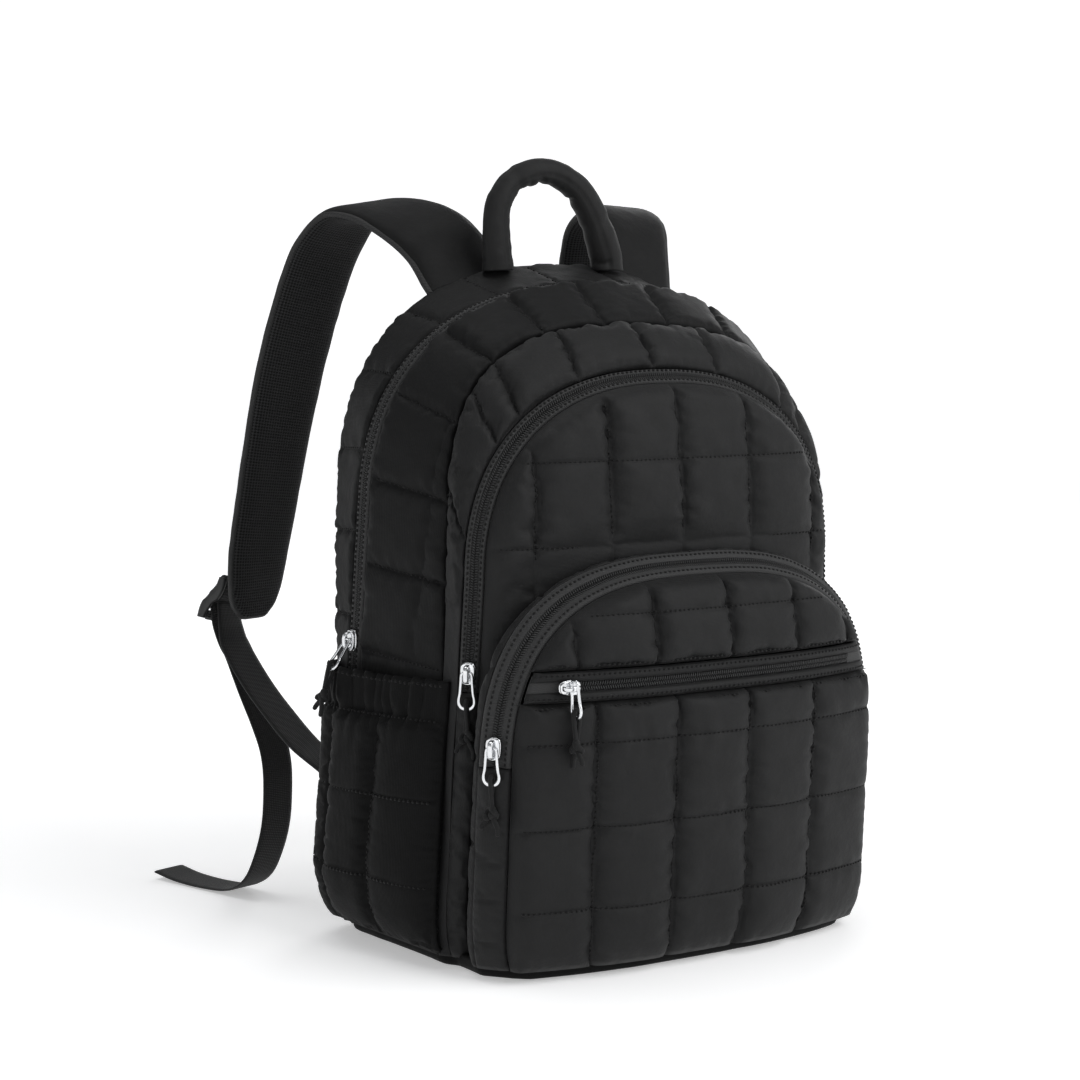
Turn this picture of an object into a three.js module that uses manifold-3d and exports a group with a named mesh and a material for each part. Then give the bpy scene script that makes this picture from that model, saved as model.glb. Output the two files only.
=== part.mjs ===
// A quilted backpack standing on its base, built as separately sewn pieces.
// Millimetres, +Z up. The front faces -Y, the wearer's side +Y, and the
// middle of the base is at the origin.
import * as THREE from 'three';
import { mergeVertices } from 'three/addons/utils/BufferGeometryUtils.js';
import Module from 'manifold-3d';

const wasm = await Module();
wasm.setup();
const { Manifold, Mesh: SolidMesh } = wasm;

// overall sizes that everything else is a share of
const HALF_WIDTH = 155;
const HEIGHT = 413;
const DEPTH = 194;

// clearances and cloth
const GAP = 0.4;
const RIM = 10;
const STRIP_FOOT = RIM + GAP;
const CLOTH = 3;
const TAPE = 2;
const PANEL = 4;
const QUILT_PUFF = 5;

// how finely an arch is divided: side pieces and top pieces
const TALL = { side: 10, top: 16 };
const SHORT = { side: 4, top: 16 };

// Seam arches. y and lean place the seam's plane, foot and side are half
// widths, shoulder and top are heights; y is a share of DEPTH, foot and side
// of HALF_WIDTH, shoulder and top of HEIGHT, and power shapes the crown.
const SEAMS = {
  back: { y: 0.469, lean: -0.05, foot: 0.942, side: 0.973, shoulder: 0.654, top: 1, power: 2.4 },
  zip: { y: 0.3706, lean: -0.13, foot: 1, side: 0.996, shoulder: 0.6605, top: 0.9697, power: 2.32 },
  front: { y: -0.156, lean: 0.03, foot: 0.959, side: 0.836, shoulder: 0.6337, top: 0.908, power: 2.82 },
  middle: { y: -0.189, lean: -0.03, foot: 0.926, side: 0.858, shoulder: 0.557, top: 0.8467, power: 2.34 },
  lower: { y: -0.3366, lean: -0.06, foot: 0.919, side: 0.914, shoulder: 0.2817, top: 0.587, power: 2.78 },
};

// zip tapes
const MAIN_TAPE = 14;
const MIDDLE_TAPE = { inset: 8.6, forward: 9.05 };
const LOWER_TAPE = { inset: 12.4, forward: 16.5 };
const GROOVE = 1.2;

// crowns of the panels
const FRONT_CROWN = 7;
const MIDDLE_CROWN = 15;
const LOWER_CROWN = 20;
const CROWN_POWER = 2.5;

// quilting lines in millimetres across (x) and up (z)
const MIDDLE_QUILT = { x: [-97, -48, 2, 54, 108], z: [196, 248, 297] };
const LOWER_TOP_QUILT = { x: [-94, -43, 9, 60, 104], z: [212] };
const LOWER_QUILT = { x: [-83, -31, 21, 73], z: [43, 91, 140] };
const FRONT_ZIP = { low: 164, high: 181.4 };
const ZIP_END = { middle: 165, lower: 127 };

// side pockets
const POCKET = {
  front: -35, back: 2, corner: 0.75, foot: 12, hem: 170, stitch: 147, bulge: 12, puff: 3,
};

const FABRIC = new THREE.MeshStandardMaterial({ color: 0x1d1d1f, roughness: 0.62, metalness: 0 });
const TAPE_CLOTH = new THREE.MeshStandardMaterial({ color: 0x151516, roughness: 0.8, metalness: 0 });
const WEBBING = new THREE.MeshStandardMaterial({ color: 0x141415, roughness: 0.78, metalness: 0 });
const AIR_MESH = new THREE.MeshStandardMaterial({ color: 0x161617, roughness: 0.9, metalness: 0 });
const CHROME = new THREE.MeshStandardMaterial({ color: 0xd7d9dc, roughness: 0.18, metalness: 1 });
const PLASTIC = new THREE.MeshStandardMaterial({ color: 0x1b1b1d, roughness: 0.5, metalness: 0 });
const CORD = new THREE.MeshStandardMaterial({ color: 0x111112, roughness: 0.85, metalness: 0 });

const V = (x, y, z) => new THREE.Vector3(x, y, z);
const lerp = THREE.MathUtils.lerp;
const clamp = THREE.MathUtils.clamp;
const group = new THREE.Group();
group.name = 'quilted_backpack';

// A solid mesh from shared vertices and triangles, turned to face outwards.
function addSolid(name, verts, tris, material) {
  let volume = 0;
  for (const [a, b, c] of tris) {
    volume += verts[a].dot(V(0, 0, 0).crossVectors(verts[b], verts[c]));
  }
  const faces = volume < 0 ? tris.map(([a, b, c]) => [a, c, b]) : tris;
  const geometry = new THREE.BufferGeometry();
  geometry.setAttribute('position', new THREE.Float32BufferAttribute(
    verts.flatMap((p) => [p.x, p.y, p.z]), 3));
  geometry.setIndex(faces.flat());
  geometry.computeVertexNormals();
  const mesh = new THREE.Mesh(geometry, material);
  mesh.name = name;
  group.add(mesh);
  return mesh;
}

// Triangles between two edge lines; the first runs with its face.
function stitch(tris, a, b) {
  let i = 0;
  let j = 0;
  const n = a.length - 1;
  const m = b.length - 1;
  while (i < n || j < m) {
    const stepA = j === m || (i < n && (i + 1) / n <= (j + 1) / m);
    if (stepA) {
      tris.push([a[i + 1], a[i], b[j]]);
      i += 1;
    } else {
      tris.push([a[i], b[j], b[j + 1]]);
      j += 1;
    }
  }
}

// A thick sheet from an outer and an inner grid of points.
function addSheet(name, outer, inner, material) {
  const verts = [];
  const tris = [];
  const put = (rows) => rows.map((row) => row.map((p) => verts.push(p) - 1));
  const fill = (g, flip) => {
    for (let i = 0; i + 1 < g.length; i += 1) {
      for (let j = 0; j + 1 < g[i].length; j += 1) {
        const [a, b, c, d] = [g[i][j], g[i][j + 1], g[i + 1][j + 1], g[i + 1][j]];
        tris.push(flip ? [a, c, b] : [a, b, c], flip ? [a, d, c] : [a, c, d]);
      }
    }
  };
  const o = put(outer);
  const n = put(inner);
  fill(o, false);
  fill(n, true);
  const column = (g, k) => g.map((row) => row.at(k));
  stitch(tris, o[0], n[0]);
  stitch(tris, column(o, -1), column(n, -1));
  stitch(tris, [...o.at(-1)].reverse(), [...n.at(-1)].reverse());
  stitch(tris, column(o, 0).reverse(), column(n, 0).reverse());
  return addSolid(name, verts, tris, material);
}

// A seam's sizes in millimetres, moved in by an inset and forward by a step.
function seam(name, inset = 0, forward = 0) {
  const s = SEAMS[name];
  return {
    y: s.y * DEPTH - forward,
    lean: s.lean,
    foot: s.foot * HALF_WIDTH - inset,
    side: s.side * HALF_WIDTH - inset,
    shoulder: s.shoulder * HEIGHT,
    top: s.top * HEIGHT - inset,
    power: s.power,
  };
}

const planeY = (s, z) => s.y + s.lean * z;
const halfAt = (s, z) => lerp(s.foot, s.side, Math.min(z, s.shoulder) / s.shoulder);

// How far out a point lies towards the seam: 0 in the middle, 1 on it.
function reach(s, x, z) {
  const across = Math.abs(x) / halfAt(s, z);
  if (z <= s.shoulder) return across;
  const up = (z - s.shoulder) / (s.top - s.shoulder);
  return Math.pow(across ** s.power + up ** s.power, 1 / s.power);
}

// Points along a seam from its left foot over the top to its right foot.
function archLine(s, division, foot = STRIP_FOOT) {
  const left = [];
  for (let i = 0; i < division.side; i += 1) {
    const z = lerp(foot, s.shoulder, i / division.side);
    left.push([halfAt(s, z), z]);
  }
  const fine = [];
  for (let i = 0; i <= 400; i += 1) {
    const a = (i / 400) * Math.PI / 2;
    fine.push([s.side * Math.cos(a) ** (2 / s.power),
      s.shoulder + (s.top - s.shoulder) * Math.sin(a) ** (2 / s.power)]);
  }
  const run = [0];
  for (let i = 1; i < fine.length; i += 1) {
    run.push(run[i - 1] + Math.hypot(fine[i][0] - fine[i - 1][0], fine[i][1] - fine[i - 1][1]));
  }
  const steps = division.top / 2;
  for (let k = 0; k < steps; k += 1) {
    const goal = run.at(-1) * k / steps;
    left.push(fine[run.findIndex((r) => r >= goal)]);
  }
  const right = left.map(([x, z]) => [x, z]).reverse();
  const line = [...left.map(([x, z]) => [-x, z]), [0, s.top], ...right];
  return line.map(([x, z]) => V(x, planeY(s, z), z));
}

// The same line moved towards the inside of its arch.
function inward(line, depth) {
  return line.map((p, i) => {
    const a = line[Math.max(i - 1, 0)];
    const b = line[Math.min(i + 1, line.length - 1)];
    const t = V(b.x - a.x, 0, b.z - a.z).normalize();
    return V(p.x + depth * t.z, p.y, p.z - depth * t.x);
  });
}

const between = (a, b, t) => a.map((p, i) => p.clone().lerp(b[i], t));
const shiftY = (line, d) => line.map((p) => V(p.x, p.y + d, p.z));

// Evenly puffed from 0 on a quilting line to 1 between two of them.
function puff(value, lines) {
  const k = lines.findIndex((v) => v > value);
  if (k <= 0) return 1;
  const f = (value - lines[k - 1]) / (lines[k] - lines[k - 1]);
  return Math.sqrt(Math.max(Math.sin(f * Math.PI), 0));
}

// A strip of cloth along an arch. The rows give a share of the width and
// how far that row swells out; shape gives a share of that at each point.
function archStrip(name, first, last, rows, thick, material, shape = () => 1) {
  const outer = rows.map(({ at, swell }) => {
    const line = between(first, last, at);
    return line.map((p, i) => {
      const raise = swell * shape(p, i);
      const a = line[Math.max(i - 1, 0)];
      const b = line[Math.min(i + 1, line.length - 1)];
      const t = V(b.x - a.x, 0, b.z - a.z).normalize();
      return V(p.x - raise * t.z, p.y, p.z + raise * t.x * (i === 0 || i === line.length - 1 ? 0 : 1));
    });
  });
  const inner = [inward(first, thick), inward(last, thick)];
  return addSheet(name, outer, inner, material);
}

// Delaunay triangles of points in a convex outline.
function delaunay(points) {
  const n = points.length;
  const far = 2e4;
  const all = [...points, [-far, -far], [far, -far], [0, far]];
  const holds = ([i, j, k], [px, py]) => {
    const [ax, ay, bx, by, cx, cy] = [i, j, k].flatMap((q) => [all[q][0] - px, all[q][1] - py]);
    const a2 = ax * ax + ay * ay;
    const b2 = bx * bx + by * by;
    const c2 = cx * cx + cy * cy;
    return ax * (by * c2 - b2 * cy) - ay * (bx * c2 - b2 * cx) + a2 * (bx * cy - by * cx) > 0;
  };
  let tris = [[n, n + 1, n + 2]];
  points.forEach((p, i) => {
    const edges = new Map();
    const kept = [];
    for (const t of tris) {
      if (!holds(t, p)) {
        kept.push(t);
        continue;
      }
      for (let k = 0; k < 3; k += 1) {
        const [a, b] = [t[k], t[(k + 1) % 3]];
        if (!edges.delete(`${b},${a}`)) edges.set(`${a},${b}`, [a, b]);
      }
    }
    tris = [...kept, ...[...edges.values()].map(([a, b]) => [a, b, i])];
  });
  return tris.filter((t) => t.every((k) => k < n));
}

// An outline with its straight runs bowed out a little, for the triangles only.
function bowed(loop) {
  const xs = loop.map((p) => p.x);
  const zs = loop.map((p) => p.z);
  const mid = (Math.min(...zs) + Math.max(...zs)) / 2;
  const tall = (Math.max(...zs) - Math.min(...zs)) / 2;
  const wide = Math.max(...xs);
  return loop.map((p) => [
    p.x * (1 + 0.03 * (1 - ((p.z - mid) / tall) ** 2)),
    mid + (p.z - mid) * (1 + 0.03 * (1 - (p.x / wide) ** 2)),
  ]);
}

// The part of an arch between two heights, as a closed outline.
function outline(line, low, high, cuts) {
  const points = [];
  const crossing = (a, b, z) => a.clone().lerp(b, (z - a.z) / (b.z - a.z));
  for (let i = 0; i < line.length; i += 1) {
    const p = line[i];
    const q = line[i + 1];
    if (p.z >= low && p.z <= high) points.push(p.clone());
    if (!q) continue;
    const limits = [low, high].filter((z) => (p.z - z) * (q.z - z) < 0);
    limits.sort((u, v) => (q.z > p.z ? u - v : v - u));
    for (const z of limits) points.push(crossing(p, q, z));
  }
  const closed = [];
  points.forEach((p, i) => {
    closed.push(p);
    const q = points[(i + 1) % points.length];
    const level = Math.abs(q.z - p.z) < 1e-6 && Math.abs(q.x - p.x) > 60;
    if (!level) return;
    for (let k = 1; k < cuts; k += 1) closed.push(p.clone().lerp(q, k / cuts));
  });
  return closed.reverse();
}

// Points of a grid that lie well inside an outline.
function gridInside(loop, xs, zs, margin) {
  const inside = [];
  const spare = (x, z) => Math.min(...loop.map((p, i) => {
    const q = loop[(i + 1) % loop.length];
    const run = Math.hypot(q.x - p.x, q.z - p.z);
    return ((q.x - p.x) * (z - p.z) - (q.z - p.z) * (x - p.x)) / run;
  }));
  for (const z of zs) {
    for (const x of xs) {
      if (spare(x, z) > margin) inside.push([x, z]);
    }
  }
  return inside;
}

// A thick panel: an outline filled with a front and a back surface.
function addPanel(name, loop, frontY, backY, frontGrid, backGrid, material) {
  const arched = bowed(loop);
  const verts = [];
  const tris = [];
  const surface = (grid, depth, flip) => {
    const start = verts.length;
    const flat = [...arched];
    loop.forEach((p) => verts.push(V(p.x, depth(p.x, p.z), p.z)));
    grid.forEach(([x, z], i) => {
      verts.push(V(x, depth(x, z), z));
      flat.push([x + 0.05 * Math.sin(12.99 * i), z + 0.05 * Math.cos(78.23 * i)]);
    });
    for (const [a, b, c] of delaunay(flat)) {
      tris.push((flip ? [a, c, b] : [a, b, c]).map((k) => k + start));
    }
    return loop.map((_, i) => start + i);
  };
  const front = surface(frontGrid, frontY, false);
  const back = surface(backGrid, backY, true);
  stitch(tris, [...front, front[0]], [...back, back[0]]);
  return addSolid(name, verts, tris, material);
}

// every quilting line with the points halfway between lines
function withMiddles(lines) {
  return lines.flatMap((v, i) => (i + 1 < lines.length ? [v, (v + lines[i + 1]) / 2] : [v]));
}

const span = (from, to, count) => Array.from({ length: count + 1 }, (_, i) => lerp(from, to, i / count));

const backSeam = seam('back');
const zipSeam = seam('zip');
const frontSeam = seam('front');
const middleOut = seam('middle');
const middleIn = seam('middle', MIDDLE_TAPE.inset, MIDDLE_TAPE.forward);
const lowerOut = seam('lower');
const lowerIn = seam('lower', LOWER_TAPE.inset, LOWER_TAPE.forward);

const crown = (s, height, x, z) => height * (1 - Math.min(reach(s, x, z), 1) ** CROWN_POWER);

// Side quilting: flat behind the side pockets, every second point a seam.
const quilted = (p, i) => clamp((p.z - POCKET.hem) / 20, 0, 1) * (i % 2 === 0 ? 0.25 : 1);

function addMainBody() {
  const back = archLine(backSeam, TALL);
  const zip = archLine(zipSeam, TALL);
  const front = archLine(frontSeam, TALL);
  const half = MAIN_TAPE / 2;
  const rows = (swell) => [0, 0.3, 0.7, 1].map((at) => ({ at, swell: at % 1 ? swell : 0 }));
  archStrip('rear_gusset', back, shiftY(zip, half + GAP), rows(3), CLOTH, FABRIC, quilted);
  const rim = shiftY(front, GAP / 2);
  archStrip('front_gusset', shiftY(zip, -half - GAP), rim, rows(5), CLOTH, FABRIC, quilted);
  archStrip('main_zip', shiftY(zip, half), shiftY(zip, -half), tapeRows(0.6), TAPE, TAPE_CLOTH);
}

// The padded wall that rests on the wearer's back.
function addBackPanel() {
  const inner = inward(archLine(backSeam, TALL), CLOTH + 2 * GAP);
  const loop = outline(inner, STRIP_FOOT, Infinity, 8);
  const s = seam('back', CLOTH + 2 * GAP);
  const outerY = (x, z) => {
    const channel = Math.abs(x) < 12 ? 0.45 : 1;
    return planeY(s, z) + crown(s, 6, x, z) * channel - 0.3;
  };
  const innerY = (x, z) => planeY(s, z) - 1.3 - crown(s, 6, x, z);
  const columns = [-0.75, -0.48, -0.18, -0.075, 0.075, 0.18, 0.48, 0.75].map((share) => share * s.side);
  const grid = gridInside(loop, columns, span(0.1 * s.top, 0.95 * s.top, 7), 8);
  const plain = gridInside(loop, [-0.48 * s.side, 0.48 * s.side], span(0.15 * s.top, 0.84 * s.top, 3), 8);
  addPanel('back_panel', loop, innerY, outerY, plain, grid, FABRIC);
}

// Front wall: a quilted band that domes forward, and the wall behind the pocket.
function addFrontPanel() {
  const rim = shiftY(archLine(frontSeam, TALL), -GAP / 2);
  const edge = shiftY(archLine(middleOut, TALL), GAP);
  const verts = [];
  const tris = [];
  const put = (line) => line.map((p) => verts.push(p) - 1);
  const bow = (t, height) => between(rim, edge, t).map((p, i, line) => {
    const a = line[Math.max(i - 1, 0)];
    const b = line[Math.min(i + 1, line.length - 1)];
    const out = V(-(b.z - a.z), 0, b.x - a.x).normalize();
    const free = clamp((p.z - 200) / 80, 0, 1);
    const crease = i % 2 === 0 ? 0.45 : 1;
    const rise = height * free * crease;
    return V(p.x + out.x * rise, p.y - rise * 0.6, p.z + out.z * rise);
  });
  const thick = CLOTH;
  const outer = [rim, bow(0.3, FRONT_CROWN), bow(0.7, FRONT_CROWN * 0.8), edge].map(put);
  const hollow = [inward(rim, thick), shiftY(inward(edge, thick), thick)].map(put);
  const fill = (g, flip) => {
    for (let i = 0; i + 1 < g.length; i += 1) {
      for (let j = 0; j + 1 < g[i].length; j += 1) {
        const [a, b, c, d] = [g[i][j], g[i][j + 1], g[i + 1][j + 1], g[i + 1][j]];
        tris.push(flip ? [a, c, b] : [a, b, c], flip ? [a, d, c] : [a, c, d]);
      }
    }
  };
  fill(outer, false);
  fill(hollow, true);
  const cap = (line, flip) => {
    for (const [a, b, c] of delaunay(bowed(line.map((k) => verts[k])))) {
      tris.push(flip ? [line[a], line[c], line[b]] : [line[a], line[b], line[c]]);
    }
  };
  cap(outer.at(-1), true);
  cap(hollow.at(-1), false);
  stitch(tris, outer[0], hollow[0]);
  const column = (g, k) => g.map((row) => row.at(k));
  const foot = (g) => [...column(g, -1), ...column(g, 0).reverse()];
  stitch(tris, foot(outer), foot(hollow));
  addSolid('front_panel', verts, tris, FABRIC);
}

// Tray under the bag: flat bottom with a low band all round.
function addBase() {
  const side = [
    [backSeam.foot - 12, planeY(backSeam, 0)],
    [backSeam.foot - 2, planeY(backSeam, 0) - 7],
    [zipSeam.foot, planeY(zipSeam, 0)],
    [lerp(zipSeam.foot, frontSeam.foot, 0.5), 20],
    [frontSeam.foot, planeY(frontSeam, 0)],
    [middleOut.foot, planeY(middleOut, 0) - 2],
    [lowerOut.foot, planeY(lowerOut, 0)],
    [lowerIn.foot, planeY(lowerIn, 0)],
  ];
  const front = span(-1, 1, 8).slice(1, -1).map((t) => [
    lowerIn.foot * -t, planeY(lowerIn, 0) - PANEL - crown(lowerIn, LOWER_CROWN, lowerIn.foot * t, 0),
  ]);
  const plan = [...side, ...front, ...side.map(([x, y]) => [-x, y]).reverse()];
  const centre = [0, 0];
  const scaled = (step, z) => plan.map(([x, y]) => {
    const r = Math.hypot(x - centre[0], y - centre[1]);
    return V(x * (1 - step / r), y * (1 - step / r), z);
  });
  const rings = [
    scaled(6, 0), scaled(1.5, 3), scaled(0, 7), scaled(0, RIM),
    scaled(CLOTH, RIM), scaled(CLOTH + 1, 6), scaled(8, CLOTH),
  ];
  const verts = rings.flat();
  const n = plan.length;
  const tris = [];
  for (let r = 0; r + 1 < rings.length; r += 1) {
    for (let i = 0; i < n; i += 1) {
      const j = (i + 1) % n;
      const [a, b, c, d] = [r * n + i, r * n + j, (r + 1) * n + j, (r + 1) * n + i];
      tris.push([a, b, c], [a, c, d]);
    }
  }
  const lid = (r, flip) => {
    const flat = rings[r].map((p) => new THREE.Vector2(p.x, p.y));
    const area = THREE.ShapeUtils.area(flat) > 0;
    for (const t of THREE.ShapeUtils.triangulateShape(flat, [])) {
      const turn = (THREE.ShapeUtils.area(t.map((k) => flat[k])) > 0) === area;
      const [a, b, c] = t.map((k) => r * n + k);
      tris.push(turn === flip ? [a, c, b] : [a, b, c]);
    }
  };
  lid(0, true);
  lid(rings.length - 1, false);
  addSolid('base', verts, tris, FABRIC);
}

// A zip tape with a groove along its middle, between two seams.
function tapeRows(swell) {
  return [0, 0.42, 0.5, 0.58, 1].map((at) => ({
    at, swell: at === 0 || at === 1 ? 0 : at === 0.5 ? swell - GROOVE : swell,
  }));
}

// The piece of an arch line whose points are higher than a level.
function above(line, level) {
  return outline(line, level, Infinity, 1).reverse();
}

// The foot of an arch line on one side, up to a level.
function footOf(line, level, side) {
  const half = line.filter((p) => p.x * side > 0);
  const low = side < 0 ? half : [...half].reverse();
  const points = [];
  for (let i = 0; i < low.length; i += 1) {
    if (low[i].z >= level) {
      points.push(low[i - 1].clone().lerp(low[i], (level - low[i - 1].z) / (low[i].z - low[i - 1].z)));
      break;
    }
    points.push(low[i]);
  }
  return side < 0 ? points : points.reverse();
}

function addEdgePiece(name, first, last, thick, material) {
  const rows = [{ at: 0, swell: 0 }, { at: 0.5, swell: 1.5 }, { at: 1, swell: 0 }];
  archStrip(name, first, last, rows, thick, material);
}

function addMiddlePocket() {
  const out = archLine(middleOut, TALL);
  const into = archLine(middleIn, TALL);
  const end = ZIP_END.middle;
  archStrip('middle_zip', above(out, end), above(into, end), tapeRows(0.8), TAPE, TAPE_CLOTH);
  addEdgePiece('middle_gusset_left', footOf(out, end - GAP, -1), footOf(into, end - GAP, -1), CLOTH, FABRIC);
  addEdgePiece('middle_gusset_right', footOf(out, end - GAP, 1), footOf(into, end - GAP, 1), CLOTH, FABRIC);
  const loop = outline(into, STRIP_FOOT, Infinity, 8);
  const xs = [-middleIn.side, ...MIDDLE_QUILT.x, middleIn.side];
  const zs = [...MIDDLE_QUILT.z, middleIn.top];
  const wide = withMiddles(xs).slice(1, -1);
  const shown = gridInside(loop, wide, withMiddles(zs).slice(2, -1), 7);
  const hidden = gridInside(loop, [-90, -30, 30, 90], [70, 130, 185], 8);
  const plain = gridInside(loop, [-80, 0, 80], span(60, 300, 4), 8);
  addPanel('middle_panel', loop, middleFront, middleBack, [...hidden, ...shown], plain, FABRIC);
}

function middleBack(x, z) {
  return planeY(middleIn, z) - GAP - crown(middleIn, MIDDLE_CROWN, x, z);
}

function middlePlain(x, z) {
  return middleBack(x, z) - PANEL;
}

function middleFront(x, z) {
  const xs = [-middleIn.side, ...MIDDLE_QUILT.x, middleIn.side];
  const zs = [0, ...MIDDLE_QUILT.z, middleIn.top];
  const clearOfLower = clamp((reach(lowerOut, x, z) - 1.08) / 0.12, 0, 1);
  const fromEdge = clamp((1 - reach(middleIn, x, z)) / 0.08, 0, 1);
  const raise = QUILT_PUFF * puff(x, xs) * puff(z, zs) * clearOfLower * fromEdge;
  return middlePlain(x, z) - raise;
}

function addLowerPocket() {
  const out = archLine(lowerOut, SHORT);
  const into = archLine(lowerIn, SHORT);
  const rootSeam = { ...lowerOut, foot: 132, side: 127, top: 236 };
  const onMiddle = (line) => line.map((p) => V(p.x, middlePlain(p.x, p.z) - GAP, p.z));
  const root = onMiddle(archLine(rootSeam, SHORT));
  const rootIn = onMiddle(inward(root, CLOTH));
  const lip = shiftY(out, GAP);
  const swell = between(root, lip, 0.5);
  addSheet('lower_gusset', [root, inward(swell, -1.5), lip], [rootIn, inward(lip, CLOTH)], FABRIC);
  const end = ZIP_END.lower;
  archStrip('lower_zip', above(out, end), above(into, end), tapeRows(0.8), TAPE, TAPE_CLOTH);
  addEdgePiece('lower_edge_left', footOf(out, end - GAP, -1), footOf(into, end - GAP, -1), CLOTH, FABRIC);
  addEdgePiece('lower_edge_right', footOf(out, end - GAP, 1), footOf(into, end - GAP, 1), CLOTH, FABRIC);
  const topLoop = outline(into, FRONT_ZIP.high + GAP, Infinity, 10);
  const zipLoop = outline(into, FRONT_ZIP.low, FRONT_ZIP.high, 10);
  const lowLoop = outline(into, STRIP_FOOT, FRONT_ZIP.low - GAP, 10);
  addQuilted('lower_panel_top', topLoop, LOWER_TOP_QUILT, FRONT_ZIP.high, lowerIn.top);
  addQuilted('lower_panel', lowLoop, LOWER_QUILT, 0, FRONT_ZIP.low);
  const groove = (x, z) => lowerBack(x, z) - TAPE - (Math.abs(z - zipMid) < 1 ? 0.2 : 1.2);
  const zipMid = (FRONT_ZIP.low + FRONT_ZIP.high) / 2;
  const reachX = 0.83 * halfAt(lowerIn, zipMid);
  const rib = gridInside(zipLoop, span(-reachX, reachX, 8), [zipMid - 2.5, zipMid, zipMid + 2.5], 1);
  addPanel('front_zip', zipLoop, groove, lowerBack, rib, [], TAPE_CLOTH);
}

function lowerBack(x, z) {
  return planeY(lowerIn, z) - GAP - crown(lowerIn, LOWER_CROWN, x, z);
}

function addQuilted(name, loop, quilt, low, high) {
  const xs = [-lowerIn.side, ...quilt.x, lowerIn.side];
  const zs = [low, ...quilt.z, high];
  const front = (x, z) => {
    const edge = clamp((1 - reach(lowerIn, x, z)) / 0.08, 0, 1);
    const seamLow = clamp((z - low) / 8, 0, 1);
    const seamHigh = clamp((high - z) / 8, 0, 1);
    const height = QUILT_PUFF * edge * Math.min(seamLow, seamHigh);
    return lowerBack(x, z) - PANEL - height * puff(x, xs) * puff(z, zs);
  };
  const grid = gridInside(loop, withMiddles(xs).slice(1, -1), withMiddles(zs).slice(1, -1), 6);
  const plain = gridInside(loop, [-78, -26, 26, 78], [(low + high) / 2], 8);
  addPanel(name, loop, front, lowerBack, grid, plain, FABRIC);
}

// Half width of the bag's side at a place, between the seams.
function sideX(y, z) {
  const tape = MAIN_TAPE / 2 + GAP;
  const marks = [[backSeam, 0], [zipSeam, tape], [zipSeam, -tape], [frontSeam, 0]]
    .map(([s, shift]) => [planeY(s, z) + shift, halfAt(s, z)]);
  const k = y > marks[1][0] ? 0 : y > marks[2][0] ? 1 : 2;
  const t = (y - marks[k][0]) / (marks[k + 1][0] - marks[k][0]);
  return lerp(marks[k][1], marks[k + 1][1], clamp(t, 0, 1));
}

// A quilted side pocket, open at its gathered top.
function addSidePocket(name, side) {
  const us = span(0, 1, 12);
  const vs = [0, 0.16, 0.32, 0.48, 0.64, 0.8, 0.86, 0.93, 1];
  const point = (u, v, outside) => {
    const z = lerp(POCKET.foot, POCKET.hem, v);
    const corner = planeY(zipSeam, z) + MAIN_TAPE / 2 + GAP;
    const y = u < POCKET.corner
      ? lerp(POCKET.front, corner, u / POCKET.corner)
      : lerp(corner, planeY(backSeam, z) - POCKET.back, (u - POCKET.corner) / (1 - POCKET.corner));
    const belly = Math.sqrt(1 - Math.abs(2 * u - 1) ** 4);
    const rise = Math.min(v / 0.22, 1) ** 0.6;
    const gathered = z > POCKET.stitch;
    const quilt = Math.abs(Math.sin(Math.PI * u * 3) * Math.sin(Math.PI * v * 3)) ** 0.6;
    const fold = gathered ? Math.abs(Math.sin(Math.PI * u * 6)) * 1.6 : quilt * POCKET.puff;
    const out = POCKET.bulge * (gathered ? 0.55 : 1 - 0.3 * v) * belly * rise;
    const cloth = outside ? CLOTH + fold * belly * rise : 0;
    return V(side * (sideX(y, z) + 2 * GAP + out + cloth), y, z);
  };
  const outer = vs.map((v) => us.map((u) => point(u, v, true)));
  const inner = [0, 0.16, 0.48, 0.8, 1].map((v) => span(0, 1, 8).map((u) => point(u, v, false)));
  addSheet(name, outer, inner, FABRIC);
}

// A closed body swept along stations of centre, width direction and size.
function addSweep(name, stations, profile, width, thick, material) {
  const verts = [];
  const tris = [];
  const n = profile.length;
  stations.forEach((s, i) => {
    const a = stations[Math.max(i - 1, 0)].c;
    const b = stations[Math.min(i + 1, stations.length - 1)].c;
    const t = b.clone().sub(a).normalize();
    const w = s.w.clone().addScaledVector(t, -s.w.dot(t)).normalize();
    const face = V(0, 0, 0).crossVectors(t, w);
    for (const [p, q] of profile) {
      verts.push(s.c.clone()
        .addScaledVector(w, p * width * (s.wide ?? 1))
        .addScaledVector(face, q * thick * (s.deep ?? 1)));
    }
    if (i === 0) return;
    for (let k = 0; k < n; k += 1) {
      const m = (k + 1) % n;
      const [e, f, g, h] = [(i - 1) * n + k, (i - 1) * n + m, i * n + m, i * n + k];
      tris.push([e, f, g], [e, g, h]);
    }
  });
  const last = (stations.length - 1) * n;
  for (let k = 1; k + 1 < n; k += 1) {
    tris.push([0, k + 1, k], [last, last + k, last + k + 1]);
  }
  return addSolid(name, verts, tris, material);
}

const FLAT = [[-0.5, -0.5], [0.5, -0.5], [0.5, 0.5], [-0.5, 0.5]];
const PADDED = [
  [-0.5, 0], [-0.43, 0.4], [0, 0.5], [0.43, 0.4], [0.5, 0], [0.43, -0.4], [0, -0.5], [-0.43, -0.4],
];
const ROUND = span(0, 1, 8).slice(0, -1).map((t) => [
  0.5 * Math.cos(2 * Math.PI * t), 0.5 * Math.sin(2 * Math.PI * t),
]);

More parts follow.
